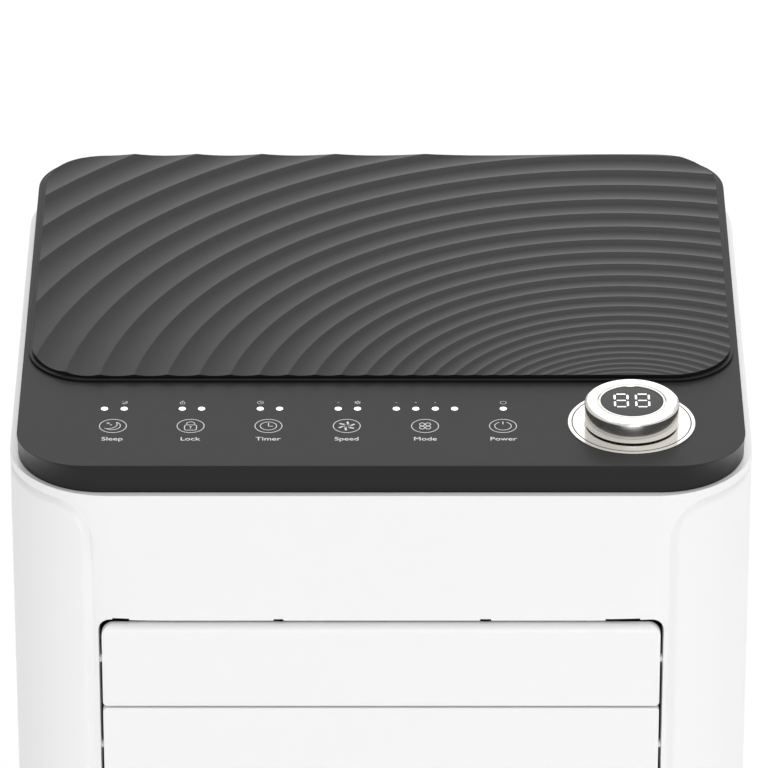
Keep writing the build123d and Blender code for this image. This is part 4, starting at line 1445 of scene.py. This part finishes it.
@dataclass
class RearFittings:
    """Hose socket, stoppers, cord bush and case screws."""

    def build(self) -> None:
        """Build each fitting."""
        self.build_collar()
        self.build_stopper("upper_drain_plug")
        self.build_stopper("lower_drain_plug")
        self.build_gland()
        self.build_screws()

    def build_collar(self) -> None:
        """Flanged socket with two internal lead-in grooves."""
        box = node_box("exhaust_collar")
        out, bore, y0, y1 = box.size.x / 2, box.size.x / 2 - 8.9, box.low.y, box.high.y
        profile = [(bore, y0), (bore + 3, y0), (bore + 3, y1 - 2.6), (out, y1 - 2.6),
                   (out, y1 - 0.7), (out - 0.7, y1), (bore + 1.2, y1), (bore, y1 - 1.2),
                   (bore, y1 - 9), (bore + 0.8, y1 - 9.8), (bore + 0.8, y1 - 11), (bore, y1 - 11.8)]
        bm = bmesh.new()
        turned(bm, profile, (box.centre.x, 0, box.centre.z), "y", 128)
        piece("hose_socket_ring", bm, PAN, replaces=["exhaust_collar"])

    def build_stopper(self, node: str) -> None:
        """Round stopper with a finger bar across a dished head."""
        box = node_box(node)
        y0, y1, r = box.low.y, box.high.y, box.size.x / 2
        at = (box.centre.x, 0, box.centre.z)
        bm = bmesh.new()
        turned(bm, [(0, y0), (4.4, y0), (5, y0 + 0.8), (5, y1 - 1.7), (r, y1 - 1.7), (r, y1 - 0.4),
                    (r - 0.4, y1), (r - 1.2, y1), (r - 1.8, y1 - 0.8), (0, y1 - 0.8)], at, "y", 48)
        block(bm, (at[0] - r + 1.4, y1 - 0.9, at[2] - 0.8), (at[0] + r - 1.4, y1 - 0.05, at[2] + 0.8),
              0.25, 2)
        piece(f"{node}_stopper", bm, RUBBER, body=node, replaces=[node])

    def build_gland(self) -> None:
        """Cord bush with a rounded mouth and a back nut."""
        box = node_box("cord_gland")
        y0, y1 = box.low.y, box.high.y
        profile = [(4.5, y0), (7.9, y0), (7.9, y0 + 3), (11, y0 + 3), (11, y0 + 9.9),
                   (7.9, y0 + 9.9), (7.9, y1 - 0.5), (7.4, y1), (5.6, y1), (4.8, y1 - 0.4),
                   (4.5, y1 - 1.2)]
        bm = bmesh.new()
        turned(bm, profile, (box.centre.x, 0, box.centre.z), "y", 48)
        piece("cord_bush", bm, BLACK, replaces=["cord_gland"])

    def build_screws(self) -> None:
        """Pan-head screws with a cross recess marked by a sunk well."""
        box = node_box("case_screws")
        bm = bmesh.new()
        y1 = box.high.y
        head = [(0, box.low.y), (1.2, box.low.y), (1.6, box.low.y + 0.6), (1.6, y1 - 1.5),
                (4, y1 - 1.5), (4, y1 - 0.7), (3.4, y1 - 0.2), (2.4, y1), (1.5, y1),
                (1.1, y1 - 0.7), (0, y1 - 0.9)]
        for x, z in SCREWS:
            turned(bm, head, (x, 0, z), "y", 32)
        piece("case_screw_set", bm, ZINC, replaces=["case_screws"])


# ------------------------------------------------------------------ base
@dataclass
class Base:
    """Moulded pan under the panels and its four casters."""

    corners: tuple[str, ...] = ("front_left", "front_right", "rear_left", "rear_right")
    stem_radius: float = 4.0

    def build(self) -> None:
        """Build the pan and the casters."""
        self.build_pan()
        for corner in self.corners:
            self.build_fork(corner)
            self.build_wheel(corner)

    def build_pan(self) -> None:
        """Pan as nested loops: rolled foot, outer wall, panel locating wall and floor."""
        box = node_box("base_pan")
        hx, hy, z0 = box.size.x / 2, box.size.y / 2, box.low.z
        steps = [(7.0, 0.0), (2.5, 0.0), (1.0, 0.7), (0.3, 2.2), (0.0, 4.5), (0.0, 15.4),
                 (0.6, 16.0), (4.3, 16.0), (4.3, 29.4), (4.7, 30.0), (6.3, 30.0), (6.7, 29.4),
                 (6.7, 3.0)]
        bm = bmesh.new()
        loops = [plan_loop(bm, (hx - inset, hy - inset), 47 - inset, (0.0, 0.0), z0 + height, 12)
                 for inset, height in steps]
        loft(bm, loops)
        piece("base_tub", bm, PAN, replaces=["base_pan"])

    def build_fork(self, corner: str) -> None:
        """Swivel head, two legs and the axle of one caster."""
        box = node_box(f"caster_fork_{corner}")
        swivel, roll = joint_place(f"caster_{corner}_swivel"), joint_place(f"wheel_{corner}_roll")
        bm = bmesh.new()
        head, axle = 41.4, roll.z
        plate = [(0, 36.8), (12.2, 36.8), (13, 37.6), (13, 40.2), (12.4, 40.8), (10.5, head),
                 (5, head), (self.stem_radius, head + 0.6), (self.stem_radius, box.high.z - 0.8),
                 (self.stem_radius - 0.8, box.high.z), (0, box.high.z)]
        turned(bm, plate, (swivel.x, swivel.y, 0), "z", 48)
        for side in (-1, 1):
            x0, x1 = sorted((side * 9.5, side * 12.0))
            low, high = (roll.x + x0, swivel.y - 4, axle - 4), (roll.x + x1, roll.y + 4, 37.5)
            leg = block(bm, low, high)
            for vert in leg:
                if vert.co.z < axle and vert.co.y < swivel.y:
                    vert.co += Vector((0, 9, 6))
            disc = [(0, x0), (5.6, x0), (6, x0 + 0.3), (6, x1 - 0.3), (5.6, x1), (0, x1)]
            turned(bm, disc, (roll.x, roll.y, axle), "x", 32)
            cap = [(0, x0), (2.6, x0), (2.6, x1), (0, x1)]
            turned(bm, cap, (roll.x, roll.y, axle), "x", 24)
        turned(bm, [(0, -9.6), (2.9, -9.6), (2.9, 9.6), (0, 9.6)], (roll.x, roll.y, axle), "x", 24)
        soften(bm, 0.3, 1, 75.0)
        piece(f"caster_{corner}_housing", bm, BLACK, body=f"caster_{corner}",
              replaces=[f"caster_fork_{corner}"])

    def build_wheel(self, corner: str) -> None:
        """Tyre with a rounded tread and a dished hub with spokes."""
        box = node_box(f"caster_wheel_{corner}")
        at, r, w = box.centre, box.size.z / 2, box.size.x / 2
        body = f"wheel_{corner}"
        tread = [(13.2, -w + 0.4), (14.2, -w), (r - 2.5, -w), (r - 0.8, -w + 0.8), (r, -w + 2.6),
                 (r, w - 2.6), (r - 0.8, w - 0.8), (r - 2.5, w), (14.2, w), (13.2, w - 0.4)]
        tyre = bmesh.new()
        turned(tyre, tread, at, "x", 64)
        piece(f"caster_{corner}_tyre", tyre, RUBBER, body=body,
              replaces=[f"caster_wheel_{corner}"])
        hub = bmesh.new()
        rim = [(3.1, -w + 0.6), (6, -w + 0.6), (6.4, -3.5), (11.6, -3.5), (12.2, -w + 0.7),
               (13.25, -w + 0.7), (13.25, w - 0.7), (12.2, w - 0.7), (11.6, 3.5), (6.4, 3.5),
               (6, w - 0.6), (3.1, w - 0.6)]
        turned(hub, rim, at, "x", 48)
        for i in range(6):
            own = bmesh.new()
            block(own, (-w + 1.4, -0.7, 5.5), (w - 1.4, 0.7, 12.5), 0.25, 1)
            own.transform(Matrix.Translation(at) @ Matrix.Rotation(FULL * i / 6, 4, "X"))
            absorb(hub, own)
        piece(f"caster_{corner}_hub", hub, PAN, body=body)


# ------------------------------------------------------------------ carried-over parts
def dress_frame() -> None:
    """Give every CAD node that stays visible the finish of its slot."""
    finishes = {finish.slot: finish for finish in (BOARD, GREY, BLACK, RUBBER, ZINC, ENAMEL,
                                                   COPPER, FINS, DECK, WINDOW, CHROME, WHITE)}
    slots = {part["node"]: part["material_slot"] for part in frame["record"]["subparts"]}
    for name, node in frame["nodes"].items():
        finish = finishes.get(slots.get(name, ""), GREY)
        if name.endswith("_coil"):
            finish = FINS
        for index in range(len(node.material_slots)):
            node.material_slots[index].material = finish.material()
        if not node.material_slots:
            node.data.materials.append(finish.material())


# ------------------------------------------------------------------ studio
@dataclass
class Studio:
    """Pale floor, soft white surround, three large lights and the camera."""

    place: tuple[float, float, float] = (0.00139, -3.0638, 2.3448)
    pitch: float = 29.0
    lens: float = 336.95
    surround: float = 0.57
    lean: tuple[float, float, float] = (0.09, 0.0, 0.22)

    def build(self) -> None:
        """Build everything that is not the object."""
        self.build_floor()
        self.build_world()
        self.light("overhead", (0.4, 1.2, 4.0), 4.0, 84.0)
        self.light("back", (0.3, 3.4, 1.4), 2.6, 18.0)
        self.light("front", (0.4, -3.6, 0.7), 1.5, 28.0)
        self.camera()
        bpy.context.scene.view_settings.view_transform = "Standard"

    def build_floor(self) -> None:
        """Large pale floor."""
        bm = bmesh.new()
        bmesh.ops.create_grid(bm, x_segments=2, y_segments=2, size=12.0)
        data = bpy.data.meshes.new("floor")
        bm.to_mesh(data)
        bm.free()
        data.materials.append(FLOOR.material())
        floor = bpy.data.objects.new("floor", data)
        bpy.context.scene.collection.objects.link(floor)

    def build_world(self) -> None:
        """White surround, a little brighter above and to the right."""
        world = bpy.data.worlds.new("surround")
        world.use_nodes = True
        background = world.node_tree.nodes["Background"]
        background.inputs["Color"].default_value = (1, 1, 1, 1)
        tilt = world.node_tree.nodes.new("ShaderNodeVectorMath")
        tilt.operation = "DOT_PRODUCT"
        tilt.inputs[1].default_value = self.lean
        add = world.node_tree.nodes.new("ShaderNodeMath")
        add.inputs[1].default_value = self.surround
        way = world.node_tree.nodes.new("ShaderNodeTexCoord")
        links = world.node_tree.links
        links.new(way.outputs["Generated"], tilt.inputs[0])
        links.new(tilt.outputs["Value"], add.inputs[0])
        links.new(add.outputs["Value"], background.inputs["Strength"])
        bpy.context.scene.world = world

    def light(self, name: str, at: Sequence[float], size: float, power: float) -> None:
        """Add a square area light aimed at the cabinet.

        Args:
            name: Name of the light.
            at: Its position in metres.
            size: Edge length in metres.
            power: Power in watts.
        """
        data = bpy.data.lights.new(name, "AREA")
        data.size, data.energy = size, power
        lamp = bpy.data.objects.new(name, data)
        lamp.location = at
        lamp.visible_camera = False
        lamp.rotation_euler = (Vector((0, 0, 0.5)) - Vector(at)).to_track_quat("-Z", "Y").to_euler()
        bpy.context.scene.collection.objects.link(lamp)

    def camera(self) -> None:
        """Add the camera."""
        data = bpy.data.cameras.new("camera")
        data.lens, data.sensor_width = self.lens, 36.0
        data.clip_start, data.clip_end = 0.1, 50.0
        made = bpy.data.objects.new("camera", data)
        made.location = self.place
        made.rotation_euler = (math.radians(90 - self.pitch), 0, 0)
        bpy.context.scene.collection.objects.link(made)
        bpy.context.scene.camera = made


def main() -> None:
    """Build the air conditioner and the studio, in order."""
    logging.basicConfig(level=logging.INFO, format="%(name)s: %(message)s")
    dress_frame()
    Cabinet().build()
    Cap().build()
    RippleLid().build()
    Knob().build()
    TouchPanel().build()
    Louver("louver_upper", "upper_louver", "upper_louver_swing", 6.0).build()
    Louver("louver_lower", "lower_louver", "lower_louver_swing", 2.0).build()
    Filter("upper_filter").build()
    Filter("lower_filter").build()
    RearFittings().build()
    Base().build()
    Studio().build()


if __name__ == "__main__":
    main()
